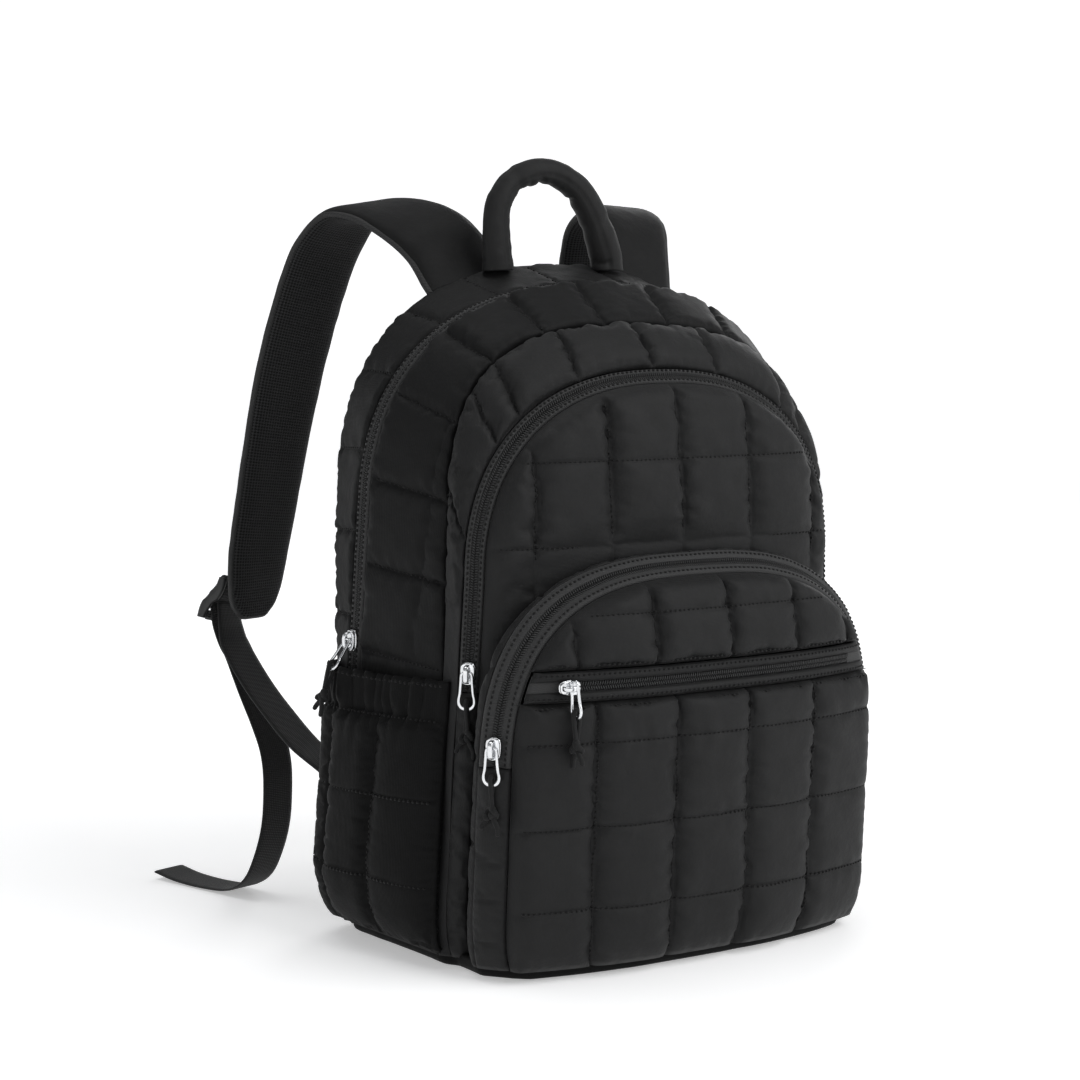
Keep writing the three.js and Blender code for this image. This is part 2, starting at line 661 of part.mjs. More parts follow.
// Shoulder straps: centre x, y, z, then the width direction x, y, z,
// then width and thickness as shares of STRAP.width and STRAP.thick.
const STRAP = { width: 58, thick: 10 };
const LEFT_STRAP = [
  [-64, 73, 404.4, -0.95, 0, -0.31, 1, 0.5],
  [-69, 86, 424, -0.91, -0.14, -0.4, 1],
  [-76, 100, 436, -0.87, -0.25, -0.42, 1],
  [-86, 117, 444, -0.87, -0.35, -0.3, 1],
  [-96, 133, 447, -0.9, -0.4, -0.15, 1],
  [-103, 147, 443, -0.93, -0.36, 0, 1],
  [-109, 158, 431, -0.95, -0.28, 0.04, 1],
  [-114, 167, 415, -0.96, -0.26, 0.05, 1],
  [-122, 176, 381, -0.96, -0.26, 0.03, 1],
  [-130, 182, 343, -0.96, -0.28, 0.04, 1],
  [-137, 186, 303, -0.95, -0.32, 0.04, 1],
  [-143, 190, 262, -0.93, -0.36, 0.05, 1],
  [-148, 193, 228, -0.91, -0.4, 0.06, 1],
  [-150, 195, 205, -0.88, -0.47, 0.08, 0.98],
  [-151, 196, 192, -0.88, -0.47, 0.08, 0.8],
  [-151.4, 196.3, 185, -0.88, -0.47, 0.08, 0.5],
];
const RIGHT_STRAP = [
  [68, 73, 403, 0.95, 0, -0.31, 1, 0.5],
  [75, 86, 424, 0.96, 0, -0.22, 1],
  [82, 100, 440, 0.97, 0, -0.16, 1],
  [87, 115, 447, 0.98, 0, -0.08, 1],
  [89, 131, 447, 1, 0, 0, 1],
  [90, 145, 438, 1, 0, 0, 1],
  [91, 153, 421, 1, 0, 0, 1],
  [92, 158, 392, 1, -0.05, 0, 1],
  [94, 162, 348, 1, -0.08, 0, 1],
  [97, 166, 304, 0.99, -0.1, 0, 1],
  [100, 170, 262, 0.99, -0.1, 0, 1],
  [103, 174, 228, 0.98, -0.12, 0, 1],
  [105, 176, 205, 0.98, -0.12, 0, 0.98],
  [106, 177, 192, 0.98, -0.12, 0, 0.8],
  [106.4, 177.4, 185, 0.98, -0.12, 0, 0.5],
];

const stationsOf = (rows) => rows.map(([x, y, z, a, b, c, wide, deep]) => ({
  c: V(x, y, z), w: V(a, b, c), wide, deep,
}));

function addStraps() {
  addSweep('strap_left', stationsOf(LEFT_STRAP), PADDED, STRAP.width, STRAP.thick, AIR_MESH);
  addSweep('strap_right', stationsOf(RIGHT_STRAP), PADDED, STRAP.width, STRAP.thick, AIR_MESH);
}

// Carry handle: centre x and z, and width as a share of HANDLE.width.
const HANDLE = { y: 60, width: 20, thick: 17 };
const HANDLE_LINE = [
  [-45, 410.9, 1.05], [-45.3, 415, 1], [-46.4, 428, 0.9], [-45.5, 448, 0.86], [-38, 460, 0.84],
  [-24, 468.5, 0.82], [-9, 470.5, 0.82], [5, 466, 0.86], [16.5, 457, 0.95], [25, 444, 1],
  [32.5, 427, 1.05], [36.4, 415, 1.08], [36.8, 411.5, 1.1],
];

function addHandle() {
  const stations = HANDLE_LINE.map(([x, z, size], i) => {
    const a = HANDLE_LINE[Math.max(i - 1, 0)];
    const b = HANDLE_LINE[Math.min(i + 1, HANDLE_LINE.length - 1)];
    const turn = V(-(b[1] - a[1]), 0, b[0] - a[0]).normalize();
    return { c: V(x, HANDLE.y, z + 1.2), w: turn, wide: size, deep: size };
  });
  addSweep('carry_handle', stations, ROUND, HANDLE.width, HANDLE.thick, FABRIC);
}

// Three.js geometry to and from the solid library.
function toSolid(geometry) {
  const g = geometry.clone();
  g.deleteAttribute('normal');
  g.deleteAttribute('uv');
  const m = mergeVertices(g, 1e-4);
  return new Manifold(new SolidMesh({
    numProp: 3,
    vertProperties: new Float32Array(m.attributes.position.array),
    triVerts: new Uint32Array(m.index.array),
  }));
}

function fromSolid(solid, name, material) {
  const m = solid.getMesh();
  const geometry = new THREE.BufferGeometry();
  geometry.setAttribute('position', new THREE.BufferAttribute(new Float32Array(m.vertProperties), 3));
  geometry.setIndex(new THREE.BufferAttribute(new Uint32Array(m.triVerts), 1));
  geometry.computeVertexNormals();
  const mesh = new THREE.Mesh(geometry, material);
  mesh.name = name;
  group.add(mesh);
  return mesh;
}

// Places a mesh whose own x runs across, y up along the zip and z outwards.
function place(mesh, origin, up, out) {
  const z = out.clone().normalize();
  const y = up.clone().addScaledVector(z, -up.dot(z)).normalize();
  const x = V(0, 0, 0).crossVectors(y, z);
  mesh.quaternion.setFromRotationMatrix(new THREE.Matrix4().makeBasis(x, y, z));
  mesh.position.copy(origin);
  return mesh;
}

// corner points of a rounded rectangle, anticlockwise
function roundedPoints(w, h, r, steps = 3) {
  const corners = [[1, -1, -90], [1, 1, 0], [-1, 1, 90], [-1, -1, 180]];
  return corners.flatMap(([sx, sy, start]) => span(0, 90, steps).map((turn) => {
    const a = THREE.MathUtils.degToRad(start + turn);
    return new THREE.Vector2(sx * (w / 2 - r) + r * Math.cos(a), sy * (h / 2 - r) + r * Math.sin(a));
  }));
}

const roundedShape = (w, h, r, steps) => new THREE.Shape(roundedPoints(w, h, r, steps));
const roundedHole = (w, h, r, steps, y = 0) => new THREE.Path(
  roundedPoints(w, h, r, steps).map((p) => p.set(p.x, p.y + y)).reverse());

// Zip slider: a plate on the tape with a bridge that the puller hooks over.
const SLIDER = { wide: 8.5, tall: 13, plate: 3.2, bridge: 3, window: 3, bar: 1.6, seat: 1.1 };
const PULLER = { wide: 8.4, tall: 22, thick: 1.6, window: 4.4, bar: 2.2 };

function sliderSolid() {
  const plate = new THREE.ExtrudeGeometry(roundedShape(SLIDER.wide, SLIDER.tall, 2.4), {
    depth: SLIDER.plate, bevelEnabled: false,
  });
  const high = SLIDER.plate + SLIDER.window + SLIDER.bar;
  const side = new THREE.Shape([
    [5, 0.5], [4.4, high - 1], [3.2, high], [-3.2, high], [-4.4, high - 1], [-5, 0.5],
  ].map(([a, b]) => new THREE.Vector2(a, b)));
  side.holes.push(new THREE.Path([
    [-3, SLIDER.plate], [-3, high - SLIDER.bar], [3, high - SLIDER.bar], [3, SLIDER.plate],
  ].map(([a, b]) => new THREE.Vector2(a, b))));
  const bridge = new THREE.ExtrudeGeometry(side, { depth: SLIDER.bridge, bevelEnabled: false });
  bridge.translate(0, 0, -SLIDER.bridge / 2);
  bridge.applyMatrix4(new THREE.Matrix4().makeBasis(V(0, 1, 0), V(0, 0, 1), V(1, 0, 0)));
  return Manifold.union(toSolid(plate), toSolid(bridge));
}

// the puller hangs from its own origin, the middle of its top bar
function pullerGeometry() {
  const shape = roundedShape(PULLER.wide, PULLER.tall, 3.6);
  shape.holes.push(roundedHole(PULLER.window, PULLER.tall - 2 * PULLER.bar, 2, 3));
  const g = new THREE.ExtrudeGeometry(shape, {
    depth: PULLER.thick, bevelEnabled: false,
  });
  g.translate(0, (PULLER.bar - PULLER.tall) / 2, -PULLER.thick / 2);
  return g;
}

// A doubled cord looped through the puller, tied in a knot with two tails.
function cordSolid() {
  const loop = new THREE.CatmullRomCurve3([
    V(0, 0, 2.2), V(0, -3.5, 2), V(0, -13, 1.2), V(0, -15.5, 0), V(0, -13, -1.2), V(0, -3.5, -2),
    V(0, 0, -2.2), V(0, 2.2, 0),
  ], true);
  const strand = new THREE.TubeGeometry(loop, 14, 0.9, 5, true);
  const knot = new THREE.TorusGeometry(2.1, 1.7, 5, 8);
  knot.scale(1, 1.15, 0.9);
  knot.translate(0, -18, 0);
  const core = new THREE.IcosahedronGeometry(2.6, 1);
  core.translate(0, -18, 0);
  const parts = [strand, knot, core];
  for (const turn of [-1, 1]) {
    const tail = new THREE.CylinderGeometry(1, 1.15, 11, 6);
    tail.rotateZ(turn * 0.22);
    tail.translate(turn * 1.7, -24.5, turn * 0.5);
    parts.push(tail);
  }
  return Manifold.union(parts.map(toSolid));
}

// Heights of the sliders on the arched zips, and the one on the level zip by its x.
const PULL_AT = {
  main: POCKET.hem + 16, middle: ZIP_END.middle + 11, lower: ZIP_END.lower + 11, front: -100,
};

// A place in the middle of a zip tape on the left, and the way it faces.
function onTape(a, b, z) {
  return {
    at: V(-(halfAt(a, z) + halfAt(b, z)) / 2, (planeY(a, z) + planeY(b, z)) / 2, z),
    out: V(-(planeY(a, z) - planeY(b, z)), halfAt(b, z) - halfAt(a, z), 0).normalize(),
  };
}

// Each zip's slider, puller and cord: where the slider sits, the direction along
// its zip, outwards, the way the puller hangs, and whether the zip is level.
function addPulls() {
  const up = V(0, 0, 1);
  const down = V(0, 0, -1);
  const zipMid = (FRONT_ZIP.low + FRONT_ZIP.high) / 2;
  const main = V(-halfAt(zipSeam, PULL_AT.main), planeY(zipSeam, PULL_AT.main), PULL_AT.main);
  const front = V(PULL_AT.front, lowerBack(PULL_AT.front, zipMid) - TAPE - 1.1, zipMid);
  const sets = [
    { name: 'main', at: main, along: up, out: V(-1, 0, 0), hang: V(-0.58, 0, -0.815) },
    { name: 'middle', ...onTape(middleOut, middleIn, PULL_AT.middle), along: up, hang: down },
    { name: 'lower', ...onTape(lowerOut, lowerIn, PULL_AT.lower), along: up, hang: down },
    {
      name: 'front', at: front, along: V(1, 0, 0), out: V(-0.12, -1, 0),
      hang: V(0, -0.12, -0.993), level: true,
    },
  ];
  for (const s of sets) {
    const out = s.out.clone().normalize();
    const seat = s.at.clone().addScaledVector(out, SLIDER.seat);
    place(fromSolid(sliderSolid(), `${s.name}_slider`, CHROME), seat, s.along, out);
    const sideways = s.level ? s.along : out;
    const face = sideways.clone().addScaledVector(s.hang, -sideways.dot(s.hang)).normalize();
    const lift = SLIDER.plate + (s.level ? PULLER.wide / 2 + 0.25 : SLIDER.window / 2);
    const hook = seat.clone().addScaledVector(out, lift);
    if (s.level) hook.z += SLIDER.bridge / 2 + PULLER.bar;
    const puller = new THREE.Mesh(pullerGeometry(), CHROME);
    puller.name = `${s.name}_puller`;
    group.add(puller);
    place(puller, hook, s.hang.clone().negate(), face);
    const end = hook.clone().addScaledVector(s.hang, PULLER.tall - 2 * PULLER.bar + 1);
    const upright = V(face.x, face.y, 0).normalize();
    place(fromSolid(cordSolid(), `${s.name}_cord`, CORD), end, V(0, 0, 1), face.lerp(upright, 0.45));
  }
}

// Ladder lock: a flat frame with a slot for the tab, a slot for the webbing and a lip.
const LOCK = { wide: 35, tall: 30, thick: 3.5, slotWide: 27 };
const LOCK_SLOTS = [{ at: 7, high: 4.5 }, { at: -5.2, high: 7.6 }];

function addLock(name, centre, up, out) {
  const shape = roundedShape(LOCK.wide, LOCK.tall, 4);
  for (const slot of LOCK_SLOTS) {
    shape.holes.push(roundedHole(LOCK.slotWide, slot.high, 1, 1, slot.at));
  }
  const g = new THREE.ExtrudeGeometry(shape, { depth: LOCK.thick, bevelEnabled: false });
  g.translate(0, 0, -LOCK.thick / 2);
  const mesh = new THREE.Mesh(g, PLASTIC);
  mesh.name = name;
  group.add(mesh);
  return place(mesh, centre, up, out);
}

const WEB = { width: 25, thick: 1.6 };
// Webbing: centre x, y, z of each station, then the width direction x, y, z.
const LEFT_WEB = [
  [-163.2, 209.8, 192.3, -0.82, -0.53, 0.23], [-163, 206, 178, -0.88, -0.45, 0.1],
  [-162.4, 199, 164, -0.94, -0.33, 0], [-159, 178, 144, -0.96, -0.28, 0],
  [-155, 155, 127, -0.97, -0.25, 0], [-150, 125, 109, -0.98, -0.2, 0],
  [-142, 97, 96, -0.99, -0.1, 0], [-138, 88.8, 87, -1, 0, 0], [-138, 89.3, 78, -1, 0, 0],
];
const LEFT_TAIL = [
  [-166.5, 214.9, 191.5, -0.82, -0.53, 0.23], [-166.7, 213.1, 187.1, -0.82, -0.53, 0.23],
  [-165, 211.5, 178, -0.88, -0.45, 0.1], [-161, 209.5, 168, -0.94, -0.33, 0],
  [-157, 206, 158, -0.96, -0.28, 0], [-154, 193, 136, -0.96, -0.28, 0],
  [-150, 181, 114, -0.96, -0.28, 0], [-147.5, 174, 97, -0.96, -0.28, 0],
  [-148, 169, 77.6, -0.96, -0.28, 0], [-150, 168.5, 51, -0.96, -0.28, 0],
  [-154.5, 172, 28.6, -0.96, -0.28, 0], [-158.5, 180, 13, -0.96, -0.28, 0],
  [-163, 196, 4, -0.96, -0.28, 0], [-170, 219, 1.7, -0.96, -0.28, 0],
  [-178, 245, 2.2, -0.96, -0.28, 0], [-184, 265, 5, -0.96, -0.28, 0],
];
const LEFT_TAB = [
  [-151.4, 199.2, 222, -0.91, -0.42, 0], [-152.3, 200.6, 213, -0.9, -0.43, 0.05],
  [-154.5, 203.3, 208.5, -0.87, -0.48, 0.12], [-157.3, 206.2, 204.6, -0.82, -0.53, 0.23],
  [-159.5, 207.8, 200.4, -0.82, -0.53, 0.23],
];
const RIGHT_WEB = [
  [106.6, 189.2, 195.1, 0.99, -0.16, 0.05], [107.6, 183, 180, 0.99, -0.16, 0],
  [112, 172, 164, 0.98, -0.18, 0], [121, 156, 146, 0.98, -0.18, 0],
  [131, 136, 124, 0.99, -0.1, 0], [137.5, 114, 106, 1, 0, 0],
  [139, 97, 95, 1, 0, 0], [138, 88.8, 87, 1, 0, 0], [138, 89.3, 78, 1, 0, 0],
];
const RIGHT_TAIL = [
  [107.6, 194.6, 193.1, 0.99, -0.16, 0.05], [107.3, 191.7, 189.4, 0.99, -0.16, 0.05],
  [108.2, 191.5, 180, 0.99, -0.16, 0], [111.5, 192, 167, 0.98, -0.18, 0],
  [115.5, 192.5, 150, 0.98, -0.18, 0], [119, 190, 120, 0.98, -0.18, 0],
  [121, 186, 90, 0.98, -0.18, 0], [123, 186, 62, 0.98, -0.18, 0],
  [124, 190, 36, 0.98, -0.18, 0], [126, 200, 15, 0.98, -0.18, 0],
  [128, 216, 4, 0.98, -0.18, 0], [131, 238, 1.7, 0.98, -0.18, 0], [133, 258, 2, 0.98, -0.18, 0],
];
const RIGHT_TAB = [
  [104.4, 180.5, 222, 0.98, -0.12, 0], [105.3, 181.7, 214.5, 0.98, -0.12, 0],
  [105.2, 183.4, 211, 0.98, -0.14, 0.03], [105.1, 184.8, 208.3, 0.99, -0.16, 0.05],
  [105.7, 186.5, 203.7, 0.99, -0.16, 0.05],
];

function addWebbing() {
  addLock('ladder_lock_left', V(-164.4, 212.6, 193.9), V(0.42, -0.27, 0.87), V(0.39, -0.8, -0.44));
  addLock('ladder_lock_right', V(107, 192, 196), V(-0.1, -0.3, 0.95), V(-0.14, -0.94, -0.3));
  const runs = {
    lock_tab_left: LEFT_TAB,
    lock_tab_right: RIGHT_TAB,
    lower_webbing_left: LEFT_WEB,
    lower_webbing_right: RIGHT_WEB,
    webbing_tail_left: LEFT_TAIL,
    webbing_tail_right: RIGHT_TAIL,
  };
  for (const [name, rows] of Object.entries(runs)) {
    addSweep(name, stationsOf(rows), FLAT, WEB.width, WEB.thick, WEBBING);
  }
}

addMainBody();
addBackPanel();
addFrontPanel();
addBase();
addMiddlePocket();
addLowerPocket();
addSidePocket('side_pocket_left', -1);
addSidePocket('side_pocket_right', 1);
addStraps();
addHandle();
addPulls();
addWebbing();

export default group;
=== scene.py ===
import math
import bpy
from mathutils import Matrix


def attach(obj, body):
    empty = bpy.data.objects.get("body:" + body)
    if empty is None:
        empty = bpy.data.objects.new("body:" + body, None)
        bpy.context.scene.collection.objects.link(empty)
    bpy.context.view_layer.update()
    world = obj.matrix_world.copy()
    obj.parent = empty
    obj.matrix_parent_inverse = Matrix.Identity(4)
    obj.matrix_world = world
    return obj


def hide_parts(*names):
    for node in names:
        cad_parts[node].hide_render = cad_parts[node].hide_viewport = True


bl_info = {
    "name": "Quilted Backpack",
    "version": (1, 0, 0),
    "blender": (4, 5, 0),
    "location": "View3D > Sidebar > Backpack",
    "description": "Builds the cloth, zips, straps and webbing of a quilted backpack",
    "category": "Object",
}

import bpy
import numpy as np
from mathutils import Matrix, Vector, geometry

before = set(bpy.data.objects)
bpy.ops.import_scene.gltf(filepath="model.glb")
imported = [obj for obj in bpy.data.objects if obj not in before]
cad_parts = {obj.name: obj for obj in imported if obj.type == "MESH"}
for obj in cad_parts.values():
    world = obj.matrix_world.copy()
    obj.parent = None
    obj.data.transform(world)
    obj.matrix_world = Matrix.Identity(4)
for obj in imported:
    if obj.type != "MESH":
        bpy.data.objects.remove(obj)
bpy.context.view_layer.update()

MM = 0.001

# Main sizes of the bag in millimetres.
HALF_WIDTH, HEIGHT, DEPTH = 155.0, 413.0, 194.0
GAP, RIM, CLOTH, TAPE, PANEL = 0.4, 10.0, 3.0, 2.0, 4.0
STRIP_FOOT = RIM + GAP
# How far the foot of the bag is drawn in, over what height, and how far its cloth rolls down.
FOOT_INSET, FOOT_REACH, FOOT_ROLL = 6.0, 9.0, 3.4

# Seam arches: plane and lean, half widths at foot and side, shoulder, top, power.
SEAMS = {
    "back": (0.469, -0.05, 0.942, 0.973, 0.654, 1.0, 2.4),
    "zip": (0.3706, -0.13, 1.0, 0.996, 0.6605, 0.9697, 2.32),
    "front": (-0.156, 0.03, 0.959, 0.836, 0.6337, 0.908, 2.82),
    "middle": (-0.189, -0.03, 0.926, 0.858, 0.557, 0.8467, 2.34),
    "lower": (-0.3366, -0.06, 0.919, 0.914, 0.2817, 0.587, 2.78),
}
MAIN_TAPE = 14.0
MIDDLE_TAPE = (8.6, 9.05)
LOWER_TAPE = (12.4, 16.5)
MIDDLE_CROWN, LOWER_CROWN, CROWN_POWER = 15.0, 20.0, 2.5
FRONT_ZIP = (164.0, 181.4)
ZIP_END = {"middle": 165.0, "lower": 127.0}
POCKET = {"front": -35.0, "back": 2.0, "corner": 0.75, "foot": 12.0, "hem": 170.0,
          "stitch": 147.0, "bulge": 12.0}

# Quilting lines across (x) and up (z) on each panel.
MIDDLE_QUILT = ([-97, -48, 2, 54, 108], [196, 248, 297])
TOP_QUILT = ([-94, -43, 9, 60, 104], [212])
LOWER_QUILT = ([-83, -31, 21, 73], [43, 91, 140])


def lerp(a, b, t):
    return a + (b - a) * t


def ease(x):
    x = np.clip(x, 0.0, 1.0)
    return x * x * (3 - 2 * x)


class Seam:
    """One seam arch, moved in by an inset and forward by a step."""

    def __init__(self, name, inset=0.0, forward=0.0):
        y, self.lean, foot, side, shoulder, top, self.power = SEAMS[name]
        self.y = y * DEPTH - forward
        self.foot = foot * HALF_WIDTH - inset
        self.side = side * HALF_WIDTH - inset
        self.shoulder = shoulder * HEIGHT
        self.top = top * HEIGHT - inset

    def plane(self, z):
        return self.y + self.lean * z

    def half(self, z):
        return lerp(self.foot, self.side, np.minimum(z, self.shoulder) / self.shoulder)

    def width(self, z):
        """Half width of the arch itself at a height."""
        up = np.clip((z - self.shoulder) / (self.top - self.shoulder), 0, 1)
        return self.half(z) * (1 - up ** self.power) ** (1 / self.power)

    def reach(self, x, z):
        across = np.abs(x) / self.half(z)
        up = np.maximum(z - self.shoulder, 0) / (self.top - self.shoulder)
        return (across ** self.power + up ** self.power) ** (1 / self.power)

    def line(self, foot=STRIP_FOOT, side=80, top=150):
        """Points from the left foot over the top to the right foot."""
        z = np.linspace(foot, self.shoulder, side, endpoint=False)
        left = [np.stack([self.half(z), z], 1)]
        a = np.linspace(0, math.pi / 2, 2000)
        fx = self.side * np.cos(a) ** (2 / self.power)
        fz = self.shoulder + (self.top - self.shoulder) * np.sin(a) ** (2 / self.power)
        run = np.concatenate([[0], np.cumsum(np.hypot(np.diff(fx), np.diff(fz)))])
        goal = np.linspace(0, run[-1], top // 2 + 1)
        left.append(np.stack([np.interp(goal, run, fx), np.interp(goal, run, fz)], 1))
        left = np.concatenate(left)
        right = left[:-1][::-1]
        flat = np.concatenate([left * (-1, 1), right])
        return np.stack([flat[:, 0], self.plane(flat[:, 1]), flat[:, 1]], 1)


BACK, ZIP, FRONT = Seam("back"), Seam("zip"), Seam("front")
MIDDLE_OUT, MIDDLE_IN = Seam("middle"), Seam("middle", *MIDDLE_TAPE)
LOWER_OUT, LOWER_IN = Seam("lower"), Seam("lower", *LOWER_TAPE)


def crown(seam, height, x, z):
    return height * (1 - np.minimum(seam.reach(x, z), 1) ** CROWN_POWER)


def middle_back(x, z):
    return MIDDLE_IN.plane(z) - GAP - crown(MIDDLE_IN, MIDDLE_CROWN, x, z)


def lower_back(x, z):
    return LOWER_IN.plane(z) - GAP - crown(LOWER_IN, LOWER_CROWN, x, z)


def shift_y(line, d):
    return line + np.array([0, d, 0])


def value_noise(p, scale, seed=0):
    """Smooth noise from -1 to 1 at an array of points of two or three columns."""
    p = np.asarray(p, float) / scale + 31.7 * seed + 1000
    base = np.floor(p).astype(np.int64)
    f = ease(p - base)
    dims = p.shape[-1]
    total = 0.0
    for corner in range(2 ** dims):
        bits = np.array([(corner >> k) & 1 for k in range(dims)])
        key = base + bits
        h = np.zeros(key.shape[:-1], np.int64)
        for k in range(dims):
            h = (h * 73856093 + key[..., k] * (19349663 + 83492791 * k) + seed * 7919) & 0x7FFFFFFF
            h = (h ^ (h >> 13)) * 1274126177 & 0x7FFFFFFF
        rnd = ((h ^ (h >> 16)) & 0xFFFF) / 32767.5 - 1
        w = np.prod(np.where(bits == 1, f, 1 - f), axis=-1)
        total = total + rnd * w
    return total


def nearest(value, lines):
    """Distance to the nearest of the lines, and that line's number."""
    if len(lines) == 0:
        return np.full(np.shape(value), 1e3), np.zeros(np.shape(value), int)
    d = np.abs(np.asarray(value)[..., None] - np.asarray(lines, float))
    return d.min(-1), d.argmin(-1)


def quilting(a, b, deep, fine, edge, height=6.0, seed=1, cross=0.3, pucker=1.0):
    """Height of padded cloth sewn along deep lines of a and finer lines of b.

    edge is the distance to the piece's own border. Small puckers run away from
    each line of stitches, and every cell is filled a little differently."""
    wob = value_noise(np.stack([a, b], -1), 34, seed) * 1.1
    wob = wob + value_noise(np.stack([a * 0.2, b], -1), 3.6, seed + 8) * 0.55
    da, ia = nearest(a + wob, deep)
    db, ib = nearest(b + wob, fine)
    wall = np.maximum(np.minimum(da, edge * 2.6), 0)
    full = 1 - np.exp(-(wall / 2.6) ** 0.75)
    cut = 1 - cross * np.exp(-(db / 3.2) ** 0.9)
    cell = 1 + 0.22 * value_noise(np.stack([np.searchsorted(np.sort(deep), a) * 9.3,
                                            np.searchsorted(np.sort(fine), b) * 7.1], -1), 3.1, seed + 2)
    h = height * full * cut * cell
    flank = np.sign((np.asarray(a) + wob)[..., None] - np.asarray(deep, float))
    flank = np.take_along_axis(flank, ia[..., None], -1)[..., 0] if len(deep) else 0 * wob
    pa = value_noise(np.stack([b + da * 0.35, ia * 40.0 + flank * 11], -1), 3.6, seed + 3)
    pb = value_noise(np.stack([a + db * 0.3, ib * 50.0], -1) * (1, 0.3), 4.6, seed + 4)
    h = h + pa * 1.8 * pucker * np.exp(-da / 5) * (1 - np.exp(-da / 0.9)) * np.clip(edge / 5, 0, 1)
    h = h + pb * 0.8 * pucker * np.exp(-db / 6) * (1 - np.exp(-db / 1.2)) * np.clip(edge / 5, 0, 1)
    h = h + value_noise(np.stack([a, b], -1), 46, seed + 5) * 1.5 * full
    inside = np.clip(edge / 3, 0, 1)
    h = h - 2.1 * np.exp(-(da / 0.9) ** 2) * inside - 0.6 * np.exp(-(db / 0.9) ** 2) * inside
    h = h + value_noise(np.stack([a + 0.6 * b, b - 0.5 * a], -1) * (1, 0.4), 13, seed + 6) * 0.45 * full
    return h


def soft(name, points, faces, material, smooth=True, uv=None):
    """A mesh object from points in millimetres."""
    mesh = bpy.data.meshes.new(name)
    mesh.from_pydata((np.asarray(points, float) * MM).tolist(), [], [list(map(int, f)) for f in faces])
    mesh.validate()
    for p in mesh.polygons:
        p.use_smooth = smooth
    if uv is not None:
        layer = mesh.uv_layers.new(name="UVMap")
        loops = np.empty(len(mesh.loops), np.int32)
        mesh.loops.foreach_get("vertex_index", loops)
        layer.data.foreach_set("uv", (np.asarray(uv, float)[loops]).ravel())
    mesh.materials.append(material)
    obj = bpy.data.objects.new(name, mesh)
    bpy.context.scene.collection.objects.link(obj)
    return obj


def settle(obj, slot, *nodes):
    """Parents a finished piece to the root body, and hides the model nodes that it stands for."""
    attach(obj, "root")
    if nodes:
        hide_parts(*nodes)
    return obj


def normals(grid):
    du = np.gradient(grid, axis=0)
    dv = np.gradient(grid, axis=1)
    n = np.cross(du, dv)
    return n / (np.linalg.norm(n, axis=-1, keepdims=True) + 1e-12)


def tucked(points, drop=0.0):
    """The foot of the bag drawn in over its base, and its outer cloth rolled down."""
    low = np.exp(-np.maximum(points[..., 2] - STRIP_FOOT, 0) / FOOT_REACH)
    flat = points[..., :2] - (0, -6)
    r = np.linalg.norm(flat, axis=-1) + 1e-9
    out = points.copy()
    out[..., 2] -= drop * low ** 2.2
    out[..., :2] -= flat / r[..., None] * (FOOT_INSET * low)[..., None]
    return out


def wall(name, outer, thick, material):
    """A closed wall of cloth: the outer grid of points, and the same moved in."""
    n, m, _ = outer.shape
    nor = normals(outer)
    inner = tucked(outer - nor * thick)
    outer = tucked(outer, FOOT_ROLL)
    points = np.concatenate([outer.reshape(-1, 3), inner.reshape(-1, 3)])
    k = n * m
    idx = np.arange(k).reshape(n, m)
    faces = []
    quads = np.stack([idx[:-1, :-1], idx[1:, :-1], idx[1:, 1:], idx[:-1, 1:]], -1).reshape(-1, 4)
    faces.extend(quads.tolist())
    faces.extend((quads[:, ::-1] + k).tolist())
    rim = np.concatenate([idx[:, 0], idx[-1, 1:], idx[-2::-1, -1], idx[0, -2:0:-1]])
    nxt = np.roll(rim, -1)
    faces.extend(np.stack([nxt, rim, rim + k, nxt + k], -1).tolist())
    return soft(name, points, faces, material)


def inflate(points, inside, pins, pressure=3.0, grow=0.05, frames=20, cap=2.2, bend=0.04):
    """Cloth settled over its filling: a grid of points in mm held at its pins."""
    n, m, _ = points.shape
    number = np.full((n, m), -1)
    number[inside] = np.arange(inside.sum())
    corners = np.stack([number[:-1, :-1], number[1:, :-1], number[1:, 1:], number[:-1, 1:]], -1)
    corners = corners.reshape(-1, 4)
    faces = corners[(corners >= 0).all(1)]
    scale = 0.02
    mesh = bpy.data.meshes.new("cloth_at_rest")
    mesh.from_pydata((points[inside] * scale).tolist(), [], faces.tolist())
    obj = bpy.data.objects.new("cloth_at_rest", mesh)
    scene = bpy.context.scene
    scene.collection.objects.link(obj)
    group = obj.vertex_groups.new(name="held")
    group.add(np.where(pins[inside])[0].tolist(), 1.0, "REPLACE")
    mod = obj.modifiers.new("cloth", "CLOTH")
    s = mod.settings
    s.quality, s.mass, s.air_damping = 4, 0.02, 2.0
    s.tension_stiffness = s.compression_stiffness = 12.0
    s.shear_stiffness, s.bending_stiffness = 4.0, bend
    s.tension_damping = s.compression_damping = s.shear_damping = 5.0
    s.effector_weights.gravity = 0.0
    s.use_pressure, s.uniform_pressure_force = True, pressure
    s.vertex_group_mass, s.shrink_min = "held", -grow
    mod.collision_settings.use_collision = False
    mod.point_cache.frame_start, mod.point_cache.frame_end = 1, frames
    for step in range(1, frames + 1):
        scene.frame_set(step)
    made = obj.evaluated_get(bpy.context.evaluated_depsgraph_get()).to_mesh()
    flat = np.empty(len(made.vertices) * 3)
    made.vertices.foreach_get("co", flat)
    move = flat.reshape(-1, 3) / scale - points[inside]
    bpy.data.objects.remove(obj)
    scene.frame_set(1)
    size = np.linalg.norm(move, axis=1, keepdims=True) + 1e-9
    move *= cap * np.tanh(size / cap) / size
    out = points.copy()
    out[inside] += move
    return out


